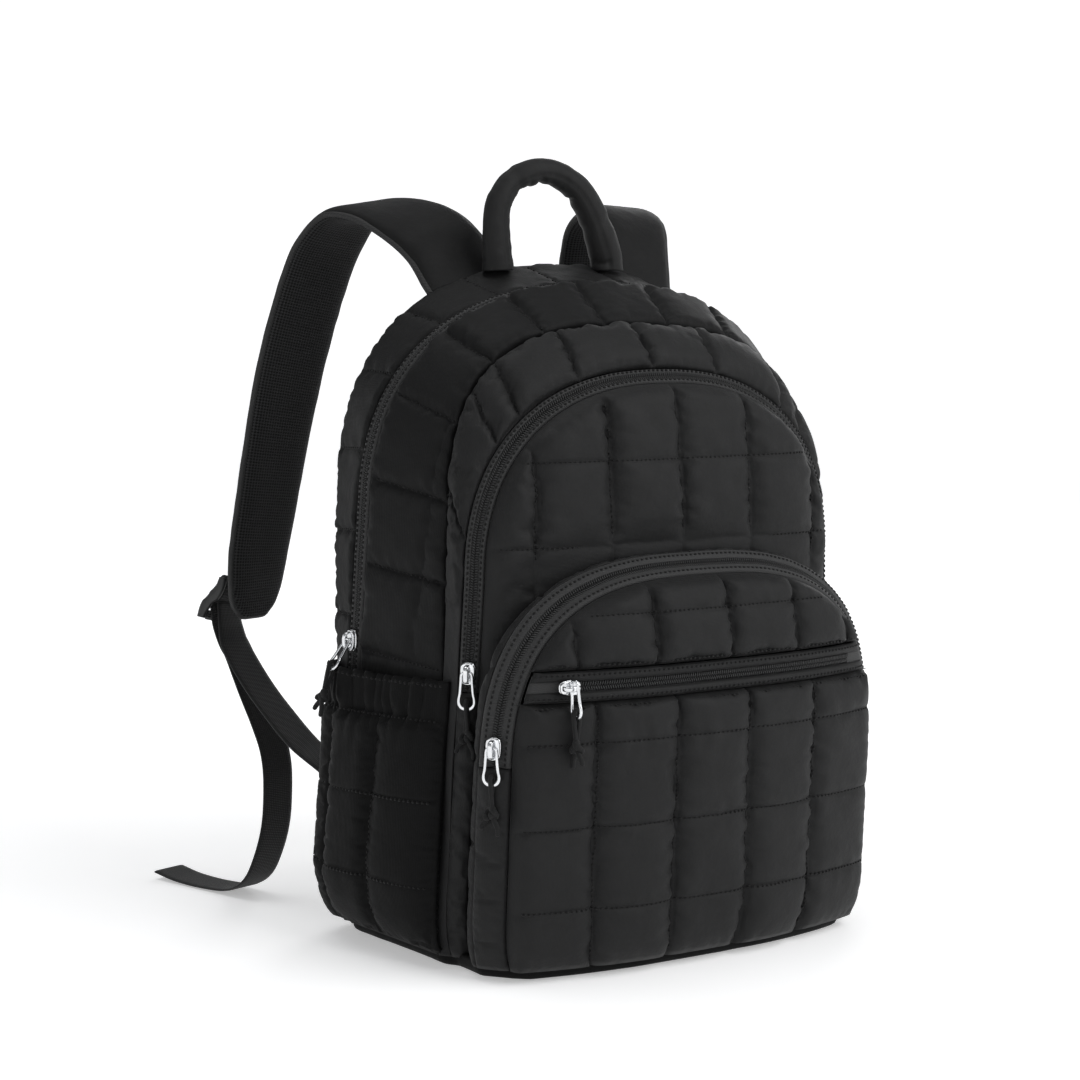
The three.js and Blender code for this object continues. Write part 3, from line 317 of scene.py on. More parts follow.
def border(mask):
    """Places of a grid that lie inside and touch the outside."""
    p = np.pad(mask, 1)
    whole = p[:-2, 1:-1] & p[2:, 1:-1] & p[1:-1, :-2] & p[1:-1, 2:]
    return mask & ~whole


def arc_run(line):
    step = np.linalg.norm(np.diff(line, axis=0), axis=1)
    return np.concatenate([[0], np.cumsum(step)])


def strip_grid(first, last, rows):
    """Points between two lines, and how far each lies along and across."""
    t = np.linspace(0, 1, rows)
    grid = first[:, None] * (1 - t[None, :, None]) + last[:, None] * t[None, :, None]
    along = np.broadcast_to(arc_run((first + last) / 2)[:, None], grid.shape[:2])
    width = np.linalg.norm(last - first, axis=1)[:, None]
    across = t[None, :] * width
    return grid, along, across, width


def above(line, level):
    """The part of an arch line that is higher than a level."""
    keep = line[:, 2] >= level
    part = line[keep]
    i, j = np.where(keep)[0][[0, -1]]
    ends = []
    for k, o in ((i, i - 1), (j, j + 1)):
        if 0 <= o < len(line):
            t = (level - line[k, 2]) / (line[o, 2] - line[k, 2])
            ends.append(lerp(line[k], line[o], t))
        else:
            ends.append(None)
    if ends[0] is not None:
        part = np.vstack([ends[0], part])
    if ends[1] is not None:
        part = np.vstack([part, ends[1]])
    return part


def below(line, level, side):
    """The foot of an arch line, up to a level, on one side."""
    half = line[line[:, 0] * side > 0]
    half = half[np.argsort(half[:, 2])]
    z = np.linspace(half[0, 2], level, 60)
    return np.stack([np.interp(z, half[:, 2], half[:, k]) for k in range(3)], 1)


def resample(line, count):
    run = arc_run(line)
    goal = np.linspace(0, run[-1], count)
    return np.stack([np.interp(goal, run, line[:, k]) for k in range(3)], 1)


def smooth_path(points, count):
    """A Catmull-Rom line through a short list of points."""
    p = np.asarray(points, float)
    p = np.vstack([2 * p[0] - p[1], p, 2 * p[-1] - p[-2]])
    out = []
    steps = 24
    for i in range(1, len(p) - 2):
        t = np.linspace(0, 1, steps, endpoint=False)[:, None]
        a, b, c, d = p[i - 1:i + 3]
        out.append(0.5 * ((2 * b) + (c - a) * t + (2 * a - 5 * b + 4 * c - d) * t ** 2
                          + (3 * b - 3 * c + d - a) * t ** 3))
    out.append(p[-2][None])
    out = np.concatenate(out)
    run = np.concatenate([[0], np.cumsum(np.linalg.norm(np.diff(out[:, :3], axis=0), axis=1))])
    goal = np.linspace(0, run[-1], count)
    return np.stack([np.interp(goal, run, out[:, k]) for k in range(out.shape[1])], 1)


class Nodes:
    """A short way to lay out a node material."""

    def __init__(self, name):
        self.mat = bpy.data.materials.new(name)
        self.mat.use_nodes = True
        self.tree = self.mat.node_tree
        self.shader = self.tree.nodes["Principled BSDF"]

    def add(self, kind, inputs=None, **props):
        node = self.tree.nodes.new(kind)
        for key, value in props.items():
            setattr(node, key, value)
        for key, value in (inputs or {}).items():
            if isinstance(value, bpy.types.NodeSocket):
                self.tree.links.new(value, node.inputs[key])
            else:
                node.inputs[key].default_value = value
        return node

    def place(self, uv=False):
        node = self.add("ShaderNodeTexCoord")
        return node.outputs["UV" if uv else "Object"]

    def noise(self, at, scale, detail=3.0, rough=0.55):
        return self.add("ShaderNodeTexNoise", {"Vector": at, "Scale": scale, "Detail": detail,
                                               "Roughness": rough}).outputs["Fac"]

    def wave(self, at, scale, direction, distortion=0.0):
        node = self.add("ShaderNodeTexWave", {"Vector": at, "Scale": scale, "Distortion": distortion},
                        bands_direction=direction)
        return node.outputs["Fac"]

    def sum(self, a, b, op="ADD"):
        return self.add("ShaderNodeMath", {0: a, 1: b}, operation=op).outputs[0]

    def sine(self, value, factor=1.0):
        return self.add("ShaderNodeMath", {0: self.sum(value, factor, "MULTIPLY")}, operation="SINE").outputs[0]

    def spread(self, fac, low, high):
        return self.add("ShaderNodeMapRange", {"Value": fac, "To Min": low, "To Max": high}).outputs[0]

    def tint(self, fac, dark, light):
        ramp = self.add("ShaderNodeMix", {"Factor": fac}, data_type="RGBA")
        ramp.inputs[6].default_value = (*dark, 1)
        ramp.inputs[7].default_value = (*light, 1)
        return ramp.outputs[2]

    def bump(self, height, strength, distance, under=None):
        inputs = {"Height": height, "Strength": strength, "Distance": distance}
        if under is not None:
            inputs["Normal"] = under
        return self.add("ShaderNodeBump", inputs).outputs["Normal"]

    def link(self, socket, value):
        target = self.shader.inputs[socket]
        if isinstance(value, bpy.types.NodeSocket):
            self.tree.links.new(value, target)
        else:
            target.default_value = value


def grey(level, cool=0.04):
    return (level, level * (1 + cool * 0.3), level * (1 + cool))


def nylon_cloth(name, level, weave=0.35, sheen=0.05, shine=0.3):
    """Fine satin nylon: close weave, soft sheen and faint crumple."""
    n = Nodes(name)
    at = n.place()
    warp = n.wave(at, 420, "X", 0.6)
    weft = n.wave(at, 420, "Z", 0.6)
    threads = n.sum(warp, weft)
    crumple = n.noise(at, 90, 5, 0.62)
    broad = n.noise(at, 9, 2, 0.5)
    tone = n.tint(broad, grey(level * 0.82), grey(level * 1.2))
    n.link("Base Color", tone)
    n.link("Roughness", n.spread(crumple, 0.52, 0.7))
    fine = n.bump(threads, weave, 0.00012)
    n.link("Normal", n.bump(crumple, 0.5, 0.0012, fine))
    n.link("Specular IOR Level", shine)
    n.link("Sheen Weight", sheen)
    n.link("Sheen Roughness", 0.45)
    return n.mat


def ribbed_webbing(name, level):
    """Woven webbing: ribs across, and a lighter selvedge along both edges (uv: across, along)."""
    n = Nodes(name)
    uv = n.place(uv=True)
    split = n.add("ShaderNodeSeparateXYZ", {"Vector": uv})
    across, along = split.outputs[0], split.outputs[1]
    ribs = n.sine(along, 2 * math.pi / 1.15)
    cords = n.sine(across, 2 * math.pi / 1.6)
    side = n.add("ShaderNodeMath", {0: n.sum(across, 12.5, "SUBTRACT")}, operation="ABSOLUTE").outputs[0]
    edge = n.add("ShaderNodeMapRange", {"Value": side, "From Min": 10.3, "From Max": 10.9}).outputs[0]
    speck = n.noise(n.place(), 700, 2)
    base = n.tint(n.sum(edge, n.sum(speck, 0.3, "MULTIPLY")), grey(level), grey(level * 2.1))
    n.link("Base Color", base)
    n.link("Roughness", 0.75)
    n.link("Specular IOR Level", 0.25)
    weave = n.bump(n.sum(ribs, n.sum(cords, 0.45, "MULTIPLY")), 0.55, 0.00025)
    n.link("Normal", weave)
    n.link("Sheen Weight", 0.1)
    return n.mat


def spacer_mesh(name, level):
    """Padded spacer mesh: rows of small round openings, painted almost black as painted shade inside them (uv:
    across, along).
    """
    n = Nodes(name)
    uv = n.place(uv=True)
    split = n.add("ShaderNodeSeparateXYZ", {"Vector": uv})
    u = n.sum(split.outputs[0], 2 * math.pi / 4.4, "MULTIPLY")
    v = n.sum(split.outputs[1], 2 * math.pi / 3.8, "MULTIPLY")
    rows = n.add("ShaderNodeMath", {0: n.sum(u, v)}, operation="SINE").outputs[0]
    cols = n.add("ShaderNodeMath", {0: n.sum(u, v, "SUBTRACT")}, operation="SINE").outputs[0]
    net = n.sum(rows, cols, "MULTIPLY")
    hole = n.add("ShaderNodeMapRange", {"Value": net, "From Min": -0.05, "From Max": 0.3}).outputs[0]
    # Painted shade: the openings are far darker than the net around them
    n.link("Base Color", n.tint(hole, grey(level * 2.3), grey(level * 0.1)))
    n.link("Roughness", 0.8)
    n.link("Specular IOR Level", 0.2)
    n.link("Normal", n.bump(hole, 1.0, -0.0014))
    return n.mat


def edge_binding(name, level):
    """Twill tape with slanting ribs (uv: across, along)."""
    n = Nodes(name)
    uv = n.place(uv=True)
    split = n.add("ShaderNodeSeparateXYZ", {"Vector": uv})
    slant = n.sum(n.sum(split.outputs[0], 1.6, "MULTIPLY"), n.sum(split.outputs[1], 2.9, "MULTIPLY"))
    ribs = n.add("ShaderNodeMath", {0: slant}, operation="SINE").outputs[0]
    n.link("Base Color", n.tint(n.spread(ribs, 0, 1), grey(level * 0.8), grey(level * 1.3)))
    n.link("Roughness", 0.7)
    n.link("Normal", n.bump(ribs, 0.5, 0.0002))
    return n.mat


def woven_tape(name, level):
    """The close knit tape of a zip."""
    n = Nodes(name)
    at = n.place()
    knit = n.sum(n.wave(at, 330, "DIAGONAL", 1.0), n.wave(at, 330, "Z", 1.0))
    n.link("Base Color", n.tint(n.noise(at, 300, 2), grey(level * 0.7), grey(level * 1.25)))
    n.link("Roughness", 0.68)
    n.link("Normal", n.bump(knit, 0.5, 0.00018))
    n.link("Sheen Weight", 0.1)
    return n.mat


def moulded(name, level, rough):
    """Moulded plastic with a faint grain."""
    n = Nodes(name)
    at = n.place()
    grain = n.noise(at, 1400, 2)
    n.link("Base Color", n.tint(n.noise(at, 120, 2), grey(level * 0.9), grey(level * 1.15)))
    n.link("Roughness", n.spread(n.noise(at, 200, 2), rough - 0.06, rough + 0.08))
    n.link("Normal", n.bump(grain, 0.15, 0.0001))
    return n.mat


def polished_metal(name):
    """Bright plated metal with light wear."""
    n = Nodes(name)
    at = n.place()
    wear = n.noise(at, 260, 4)
    n.link("Base Color", n.tint(wear, (0.66, 0.67, 0.69), (0.86, 0.87, 0.88)))
    n.link("Metallic", 1.0)
    n.link("Roughness", n.spread(wear, 0.1, 0.24))
    n.link("Normal", n.bump(n.noise(at, 900, 2), 0.05, 0.0001))
    return n.mat


def thread(name, level):
    """Sewing thread and braided cord."""
    n = Nodes(name)
    at = n.place()
    twist = n.wave(at, 700, "DIAGONAL", 0.5)
    n.link("Base Color", n.tint(twist, grey(level * 0.6), grey(level * 1.3)))
    n.link("Roughness", 0.75)
    n.link("Specular IOR Level", 0.25)
    n.link("Normal", n.bump(twist, 0.5, 0.0001))
    n.link("Sheen Weight", 0.05)
    return n.mat


def studio_paper(name):
    """Seamless pale paper."""
    n = Nodes(name)
    at = n.place()
    n.link("Base Color", n.tint(n.noise(at, 3, 2), (0.93, 0.93, 0.93), (0.95, 0.95, 0.955)))
    n.link("Roughness", 0.85)
    n.link("Specular IOR Level", 0.1)
    n.link("Normal", n.bump(n.noise(at, 200, 2), 0.02, 0.0002))
    n.link("Emission Color", n.tint(n.noise(at, 3, 2), (0.97, 0.97, 0.97), (1, 1, 1)))
    far = n.add("ShaderNodeVectorMath", {0: at}, operation="LENGTH").outputs["Value"]
    glow = n.add("ShaderNodeMapRange", {"Value": far, "From Min": 1.2, "From Max": 4.5, "To Min": 0.34,
                                        "To Max": 0.7}).outputs[0]
    n.link("Emission Strength", glow)
    return n.mat


FINISHES = {}


def finish(name):
    """The material of one finish, made from the colours in the sidebar."""
    if name not in FINISHES:
        tone = bpy.context.scene.backpack_finish
        make = {
            "nylon": lambda: nylon_cloth("quilted_nylon", tone.nylon * 0.8, sheen=0.035, shine=0.24),
            # side and pocket are darker copies of the same nylon: painted shade on the side cloth, side
            # pockets, base and strap cloth
            "side": lambda: nylon_cloth("shaded_side_nylon", tone.nylon * 0.6, sheen=0.02, shine=0.16),
            "pocket": lambda: nylon_cloth("shaded_pocket_nylon", tone.nylon * 0.36, sheen=0.01, shine=0.1),
            "lining": lambda: nylon_cloth("lining_cloth", tone.nylon * 0.7, 0.5),
            "webbing": lambda: ribbed_webbing("ribbed_webbing", tone.webbing),
            "mesh": lambda: spacer_mesh("spacer_mesh", tone.mesh),
            "binding": lambda: edge_binding("twill_binding", tone.mesh),
            "tape": lambda: woven_tape("zip_tape_cloth", tone.tape),
            "coil": lambda: moulded("zip_coil_nylon", tone.tape * 0.9, 0.55),
            "lock": lambda: moulded("lock_plastic", tone.lock, 0.46),
            "metal": lambda: polished_metal("polished_metal"),
            "thread": lambda: thread("sewing_thread", tone.thread),
            "cord": lambda: thread("braided_cord", tone.thread * 2.4),
            "paper": lambda: studio_paper("studio_paper"),
        }
        FINISHES[name] = make[name]()
    return FINISHES[name]


def aligned(low, high, lines, step=2.6):
    """Grid values from low to high that fall on every line and lie closer beside it."""
    marks = sorted([low, high] + [v for v in lines if low < v < high])
    out = []
    for a, b in zip(marks[:-1], marks[1:]):
        span = b - a
        near = [d for d in (1.2, 2.8) if d * 2 < span]
        inner = np.linspace(a + (near[-1] if near else 0), b - (near[-1] if near else 0),
                            max(int(span / step) + 1, 2))
        out.extend([a] + [a + d for d in near] + inner[1:-1].tolist() + [b - d for d in near[::-1]])
    out.append(marks[-1])
    return np.unique(np.round(out, 3))


def settled(seam, low, high, lines, front, turn=1, grow=0.04, **how):
    """How far the cloth of a panel moves when it settles, as a function of x and z."""
    top = min(high, seam.top)
    xs, zs = aligned(-seam.foot, seam.foot, lines[0], 4.2), aligned(low, top, lines[1], 4.2)
    gx, gz = np.meshgrid(xs, zs, indexing="ij")
    inside = ((1 - seam.reach(gx, gz)) * seam.half(gz) > 1.5) & (seam.top - gz > 1.5)
    pins = border(inside) | (nearest(gx, lines[0])[0] < 0.05)
    rest = np.stack([gx, front(gx, gz), gz], -1)
    if turn < 0:
        move = inflate(rest[::-1], inside[::-1], pins[::-1], grow=grow, **how)[::-1] - rest
    else:
        move = inflate(rest, inside, pins, grow=grow, **how) - rest
    near = nearest(gz, lines[1])[0] if len(lines[1]) else gz + 1e3
    move *= (1 - 0.4 * np.exp(-(near / 3.0) ** 1.2))[..., None]

    def shift(x, z):
        i = np.clip(np.searchsorted(xs, x) - 1, 0, len(xs) - 2)
        j = np.clip(np.searchsorted(zs, z) - 1, 0, len(zs) - 2)
        u = np.clip((x - xs[i]) / (xs[i + 1] - xs[i]), 0, 1)[..., None]
        v = np.clip((z - zs[j]) / (zs[j + 1] - zs[j]), 0, 1)[..., None]
        return lerp(lerp(move[i, j], move[i + 1, j], u), lerp(move[i, j + 1], move[i + 1, j + 1], u), v)

    return shift


def panel(name, seam, low, high, lines, back, front, material, shift=None):
    """A closed padded panel under an arch, between two heights."""
    line = resample(above(seam.line(low - 0.01 if low < 20 else STRIP_FOOT, 200, 400), low), 420)
    if high < seam.top:
        line = line[line[:, 2] <= high]
        left, right = line[line[:, 0] < 0], line[line[:, 0] > 0]
        half = seam.half(high) * 0.9999
        xs = aligned(-half, half, lines[0])[1:-1]
        top = np.stack([xs, 0 * xs, 0 * xs + high], 1)
        edge = [left, [[-half, 0, high]], top, [[half, 0, high]], right]
    else:
        half = abs(line[0, 0])
        edge = [line]
    foot = abs(line[0, 0])
    xs = aligned(-foot, foot, lines[0])[1:-1][::-1]
    edge.append(np.stack([xs, 0 * xs, 0 * xs + low], 1))
    rim = np.concatenate([np.asarray(e, float) for e in edge])[:, [0, 2]]
    gap = np.linalg.norm(rim - np.roll(rim, 1, axis=0), axis=1)
    rim = rim[gap > 0.5]
    gx = aligned(-seam.foot, seam.foot, lines[0])
    gz = aligned(low, min(high, seam.top), lines[1])
    x, z = [v.ravel() for v in np.meshgrid(gx, gz)]
    inside = ((1 - seam.reach(x, z)) * seam.half(z) > 1.8) & (z > low + 1.2) & (z < high - 1.2)
    inside &= seam.top - z > 1.2
    grid = np.stack([x[inside], z[inside]], 1)
    pts = np.concatenate([rim, grid])
    ring = list(range(len(rim)))
    verts, _, tris, origin, _, _ = geometry.delaunay_2d_cdt(
        [Vector(p) for p in pts], [], [ring[::-1]], 1, 1e-5)
    flat = np.array([(v.x, v.y) for v in verts])
    x, z = flat[:, 0], flat[:, 1]
    outer = np.stack([x, front(x, z), z], 1)
    if shift is not None:
        outer += shift(x, z)
    outer = tucked(outer, FOOT_ROLL)
    inner = tucked(np.stack([x, back(x, z), z], 1))
    where = {}
    for new, olds in enumerate(origin):
        for o in olds:
            where.setdefault(o, new)
    loop = [where[i] for i in ring]
    n = len(flat)
    faces = []
    for a, b, c in tris:
        turn = np.cross(flat[b] - flat[a], flat[c] - flat[a]) > 0
        a, b, c = (a, b, c) if turn else (a, c, b)
        faces.append((a, b, c))
        faces.append((n + a, n + c, n + b))
    area = 0.5 * sum(flat[loop[i - 1]][0] * flat[loop[i]][1] - flat[loop[i]][0] * flat[loop[i - 1]][1]
                     for i in range(len(loop)))
    order = loop if area > 0 else loop[::-1]
    for i, a in enumerate(order):
        b = order[(i + 1) % len(order)]
        if a != b:
            faces.append((b, a, n + a, n + b))
    return soft(name, np.concatenate([outer, inner]), faces, material)


def rolled(edge, full):
    """Cloth thickness that rolls down to the seam at its border."""
    return full * (0.25 + 0.75 * (1 - np.exp(-np.maximum(edge, 0) / 2.2)))


def panel_edge(seam, x, z, low, high):
    low = low - 3 if low < RIM + 1 else low
    side = (1 - np.minimum(seam.reach(x, z), 1)) * np.where(z > seam.shoulder, seam.top - seam.shoulder + 20,
                                                             seam.half(z))
    side = np.minimum(side, (1 - np.minimum(seam.reach(x, z), 1)) * seam.half(z))
    return np.minimum(np.minimum(side, z - low), high - z)


def middle_front(x, z):
    edge = panel_edge(MIDDLE_IN, x, z, -40, 1e3)
    h = quilting(x, z, MIDDLE_QUILT[0], [44, 96, 147] + MIDDLE_QUILT[1], edge, 3.9, 11)
    free = np.clip((LOWER_OUT.reach(x, z) - 1.06) / 0.12, 0, 1)
    return middle_back(x, z) - rolled(edge, PANEL) - np.maximum(h, -2.2) * free


def quilted_front(low, high, quilt, seed):
    def surface(x, z):
        edge = panel_edge(LOWER_IN, x, z, low, high)
        h = quilting(x, z, quilt[0], quilt[1], edge, 4.0, seed)
        return lower_back(x, z) - rolled(edge, PANEL) - np.maximum(h, -2.2)
    return surface


TOP_FRONT = quilted_front(FRONT_ZIP[1] + GAP, 1e3, TOP_QUILT, 21)
LOW_FRONT = quilted_front(STRIP_FOOT, FRONT_ZIP[0] - GAP, LOWER_QUILT, 31)


def stitches(name, paths, material, length=2.7, pitch=3.2, width=0.75):
    """Short raised stitches along paths of (point, normal) rows in millimetres."""
    points, faces = [], []
    for path, nor in paths:
        path = tucked(path, FOOT_ROLL)
        run = arc_run(path)
        if run[-1] < pitch:
            continue
        starts = np.arange(0.6, run[-1] - length, pitch)
        at = lambda s, arr: np.stack([np.interp(s, run, arr[:, k]) for k in range(3)], -1)
        a, b = at(starts, path), at(starts + length, path)
        n = at(starts + length / 2, nor)
        n = n / (np.linalg.norm(n, axis=1, keepdims=True) + 1e-9)
        t = b - a
        t = t / (np.linalg.norm(t, axis=1, keepdims=True) + 1e-9)
        w = np.cross(t, n)
        for k in range(len(starts)):
            base = len(points)
            points.append(a[k] - n[k] * 0.25)
            for frac in (0.25, 0.75):
                c = a[k] * (1 - frac) + b[k] * frac
                points.append(c + w[k] * width)
                points.append(c + n[k] * width * 0.9)
                points.append(c - w[k] * width)
                points.append(c - n[k] * width)
            points.append(b[k] - n[k] * 0.25)
            for j in range(4):
                m = (j + 1) % 4
                faces.append((base, base + 1 + m, base + 1 + j))
                faces.append((base + 1 + j, base + 1 + m, base + 5 + m, base + 5 + j))
                faces.append((base + 9, base + 5 + j, base + 5 + m))
    return soft(name, points, faces, material)


def line_on(surface, xs, zs, shift=None):
    """A path and its normals over a surface y = f(x, z), moved with the settled cloth."""
    y = surface(xs, zs)
    e = 0.8
    dx = (surface(xs + e, zs) - surface(xs - e, zs)) / (2 * e)
    dz = (surface(xs, zs + e) - surface(xs, zs - e)) / (2 * e)
    nor = np.stack([dx, -np.ones_like(xs), dz], 1)
    path = np.stack([xs, y - 0.12, zs], 1)
    return (path if shift is None else path + shift(xs, zs)), nor


def grid_lines(surface, seam, quilt, low, high, skip=None, shift=None):
    """Stitch paths along every quilting line of a panel."""
    paths = []
    for x0 in quilt[0]:
        z = np.arange(low + 3, high - 3, 1.0)
        keep = (1 - seam.reach(x0 + 0 * z, z)) * seam.half(z) > 3
        if skip is not None:
            keep &= ~skip(x0 + 0 * z, z)
        if keep.sum() > 6:
            paths.append(line_on(surface, x0 + 0 * z[keep], z[keep], shift))
    for z0 in quilt[1]:
        x = np.arange(-seam.foot, seam.foot, 1.0)
        keep = (1 - seam.reach(x, z0 + 0 * x)) * seam.half(z0) > 3
        if skip is not None:
            keep &= ~skip(x, z0 + 0 * x)
        if keep.sum() > 6 and low < z0 < high:
            paths.append(line_on(surface, x[keep], z0 + 0 * x[keep], shift))
    return paths


def on_seams(first, last, seams, step=2.4):
    """Both edges of a strip with stations that fall on its seams and close beside them."""
    run = arc_run((first + last) / 2)
    goal = aligned(0, run[-1], np.array(seams) + run[-1] / 2, step)
    pick = lambda line: np.stack([np.interp(goal, run, line[:, k]) for k in range(3)], 1)
    return pick(first), pick(last)


def grid_path(grid, nor, i, cols):
    """A path across or along a grid of points at a fractional row."""
    k = int(np.clip(math.floor(i), 0, len(grid) - 2))
    f = i - k
    return lerp(grid[k], grid[k + 1], f)[cols], lerp(nor[k], nor[k + 1], f)[cols]


def side_strip(name, first, last, seams, along_seams, seed, material, rows=26, height=5.0, flat=None):
    """Quilted cloth between two arches: seams across it, and fine seams along it."""
    first, last = on_seams(first, last, seams)
    grid, along, across, width = strip_grid(first, last, rows)
    s = along - along[-1].max() / 2
    edge = np.minimum(across, width - across)
    edge = np.minimum(edge, np.maximum(grid[..., 2] - RIM, 0) * 2 + 0.1)
    h = quilting(s, across, seams, along_seams, edge, height, seed, cross=0.3)
    pleat = value_noise(np.stack([s, across * 0.3], -1), 4.6, seed + 9) + 0.6
    near = np.minimum(across, width - across)
    h = h + pleat * 1.1 * np.exp(-near / 6) * np.clip(near / 1.5, 0, 1)
    if flat is not None:
        h = h * flat(grid)
    t = np.gradient(grid, axis=0)
    n = np.stack([-t[..., 2], 0 * t[..., 0], t[..., 0]], -1)
    n = n / (np.linalg.norm(n, axis=-1, keepdims=True) + 1e-9)
    n = n * np.array([1, 0, 1])
    feet = np.clip((grid[..., 2:3] - RIM) / 12, 0, 1)
    n = n * np.concatenate([np.ones_like(feet), feet, feet], -1)
    outer = grid + n * np.maximum(h, -0.3)[..., None]
    held = (nearest(s, seams)[0] < 0.7) | (nearest(across, along_seams)[0] < 0.8)
    if flat is not None:
        held &= flat(grid) > 0.5
    if (normals(outer) * n).sum(-1).mean() < 0:
        outer, held = outer[:, ::-1], held[:, ::-1]
    every = np.ones(held.shape, bool)
    still = held | border(every) | (outer[..., 2] < RIM + 4)
    outer = inflate(outer, every, still, cap=height * 0.45)
    obj = wall(name, outer, CLOTH, material)
    nor = normals(outer)
    paths = []
    total = along[-1].max()
    rows_at = np.interp(np.array(seams) + total / 2, along[:, 0], np.arange(len(grid)))
    for r in rows_at:
        if 3 < r < len(grid) - 4 and outer[int(r), 0, 2] > 172:
            paths.append(grid_path(outer, nor, r, slice(1, -1)))
    return obj, outer, nor, paths


def coil(name, line, across, up, material, pitch=1.9, reach=2.8):
    """The two rows of slanted coil turns along the middle of a zip."""
    line = tucked(line, FOOT_ROLL)
    run = arc_run(line)
    s = np.arange(pitch, run[-1] - pitch, pitch)
    pick = lambda arr, q: np.stack([np.interp(q, run, arr[:, k]) for k in range(3)], -1)
    points, faces = [], []
    for side in (-1, 1):
        q = s + (pitch / 2 if side > 0 else 0)
        c, w, n = pick(line, q), pick(across, q), pick(up, q)
        t = pick(line, q + 0.3) - pick(line, q - 0.3)
        for v in (w, n, t):
            v /= np.linalg.norm(v, axis=1, keepdims=True) + 1e-9
        for k in range(len(q)):
            base = len(points)
            for end, lift in ((0.05, 0.6), (0.5, 0.9), (1.0, 0.4)):
                mid = c[k] + side * w[k] * reach * end + t[k] * (end - 0.5) * 0.9 + n[k] * lift
                points += [mid + t[k] * 0.55 - n[k] * 0.5, mid + t[k] * 0.3 + n[k] * 0.22,
                           mid - t[k] * 0.3 + n[k] * 0.22, mid - t[k] * 0.55 - n[k] * 0.5]
            for a in (0, 4):
                for j in range(4):
                    m = (j + 1) % 4
                    f = (base + a + j, base + a + m, base + a + 4 + m, base + a + 4 + j)
                    faces.append(f if side > 0 else f[::-1])
            ends = [(base + 3, base + 2, base + 1, base), (base + 8, base + 9, base + 10, base + 11)]
            faces += ends if side > 0 else [e[::-1] for e in ends]
    return soft(name, points, faces, material)


def zip_strip(name, first, last, material, lift=0.7, rows=17):
    """Zip tape between two lines: raised bands beside a channel for the coil."""
    grid, along, across, width = strip_grid(first, last, rows)
    mid = np.abs(across - width / 2)
    half = width / 2
    band = np.exp(-((mid - half * 0.68) / 1.1) ** 2) * 0.5
    h = lift * np.clip((half - mid) / 1.2, 0, 1) + band - 0.9 * np.exp(-(mid / 2.9) ** 4)
    h = h - 1.3 * np.exp(-((half - mid) / 0.8) ** 2)
    h = h + value_noise(np.stack([along, across], -1), 9, 5) * 0.15
    nor = normals(grid)
    sign = 1 if (nor * (grid - np.array((0, 40, 150)))).sum(-1).mean() > 0 else -1
    nor = nor * sign
    outer = grid + nor * h[..., None]
    outer_use = outer if sign > 0 else outer[:, ::-1]
    obj = wall(name, outer_use, TAPE, material)
    m = rows // 2
    w = grid[:, -1] - grid[:, 0]
    line = outer[:, m]
    return obj, outer, nor, line, w / np.linalg.norm(w, axis=1, keepdims=True), nor[:, m]


def sweep(name, stations, section, material, twist=None):
    """A closed body along stations: rows of centre, width direction, wide, deep."""
    c, w0 = stations[:, :3], stations[:, 3:6]
    t = np.gradient(c, axis=0)
    t /= np.linalg.norm(t, axis=1, keepdims=True)
    w = w0 - t * (w0 * t).sum(1, keepdims=True)
    w /= np.linalg.norm(w, axis=1, keepdims=True)
    face = np.cross(t, w)
    sec = np.asarray(section, float)
    m, n = len(sec), len(c)
    wide, deep = stations[:, 6:7], stations[:, 7:8]
    pts = (c[:, None] + w[:, None] * (sec[None, :, :1] * wide[:, None])
           + face[:, None] * (sec[None, :, 1:2] * deep[:, None]))
    if twist is not None:
        pts = pts + twist(pts, c[:, None], arc_run(c))
    idx = np.arange(n * m).reshape(n, m)
    nxt = np.roll(idx, -1, axis=1)
    quads = np.stack([idx[:-1], nxt[:-1], nxt[1:], idx[1:]], -1).reshape(-1, 4)
    area = 0.5 * np.sum(sec[:, 0] * np.roll(sec[:, 1], -1) - np.roll(sec[:, 0], -1) * sec[:, 1])
    faces = (quads if area > 0 else quads[:, ::-1]).tolist()
    first, last = idx[0].tolist(), idx[-1].tolist()
    faces += [first[::-1], last] if area > 0 else [first, last[::-1]]
    across = np.broadcast_to(sec[None, :, 0] * wide, (n, m)) + np.abs(sec[:, 0]).max() * wide.max()
    along = np.broadcast_to(arc_run(c)[:, None], (n, m))
    tex = np.stack([across, along], -1).reshape(-1, 2)
    return soft(name, pts.reshape(-1, 3), faces, material, uv=tex), c


# Shoulder straps: centre x, y, z, width direction x, y, z, share of width, share of thickness.
STRAP = {"width": 58.0, "thick": 10.0}
LEFT_STRAP = [
    (-62.5, 70, 402, -0.95, 0, -0.31, 1, 0.5), (-69, 86, 424, -0.91, -0.14, -0.4, 1, 1),
    (-76, 100, 436, -0.87, -0.25, -0.42, 1, 1), (-86, 117, 444, -0.87, -0.35, -0.3, 1, 1),
    (-96, 133, 447, -0.9, -0.4, -0.15, 1, 1), (-103, 147, 443, -0.93, -0.36, 0, 1, 1),
    (-109, 158, 431, -0.95, -0.28, 0.04, 1, 1), (-114, 167, 415, -0.96, -0.26, 0.05, 1, 1),
    (-122, 176, 381, -0.96, -0.26, 0.03, 1, 1), (-130, 182, 343, -0.96, -0.28, 0.04, 1, 1),
    (-137, 186, 303, -0.95, -0.32, 0.04, 1, 1), (-143, 190, 262, -0.93, -0.36, 0.05, 1, 1),
    (-148, 193, 228, -0.91, -0.4, 0.06, 1, 1), (-150, 195, 205, -0.88, -0.47, 0.08, 0.98, 1),
    (-151, 196, 192, -0.88, -0.47, 0.08, 0.8, 1), (-151.4, 196.3, 185, -0.88, -0.47, 0.08, 0.5, 1),
]
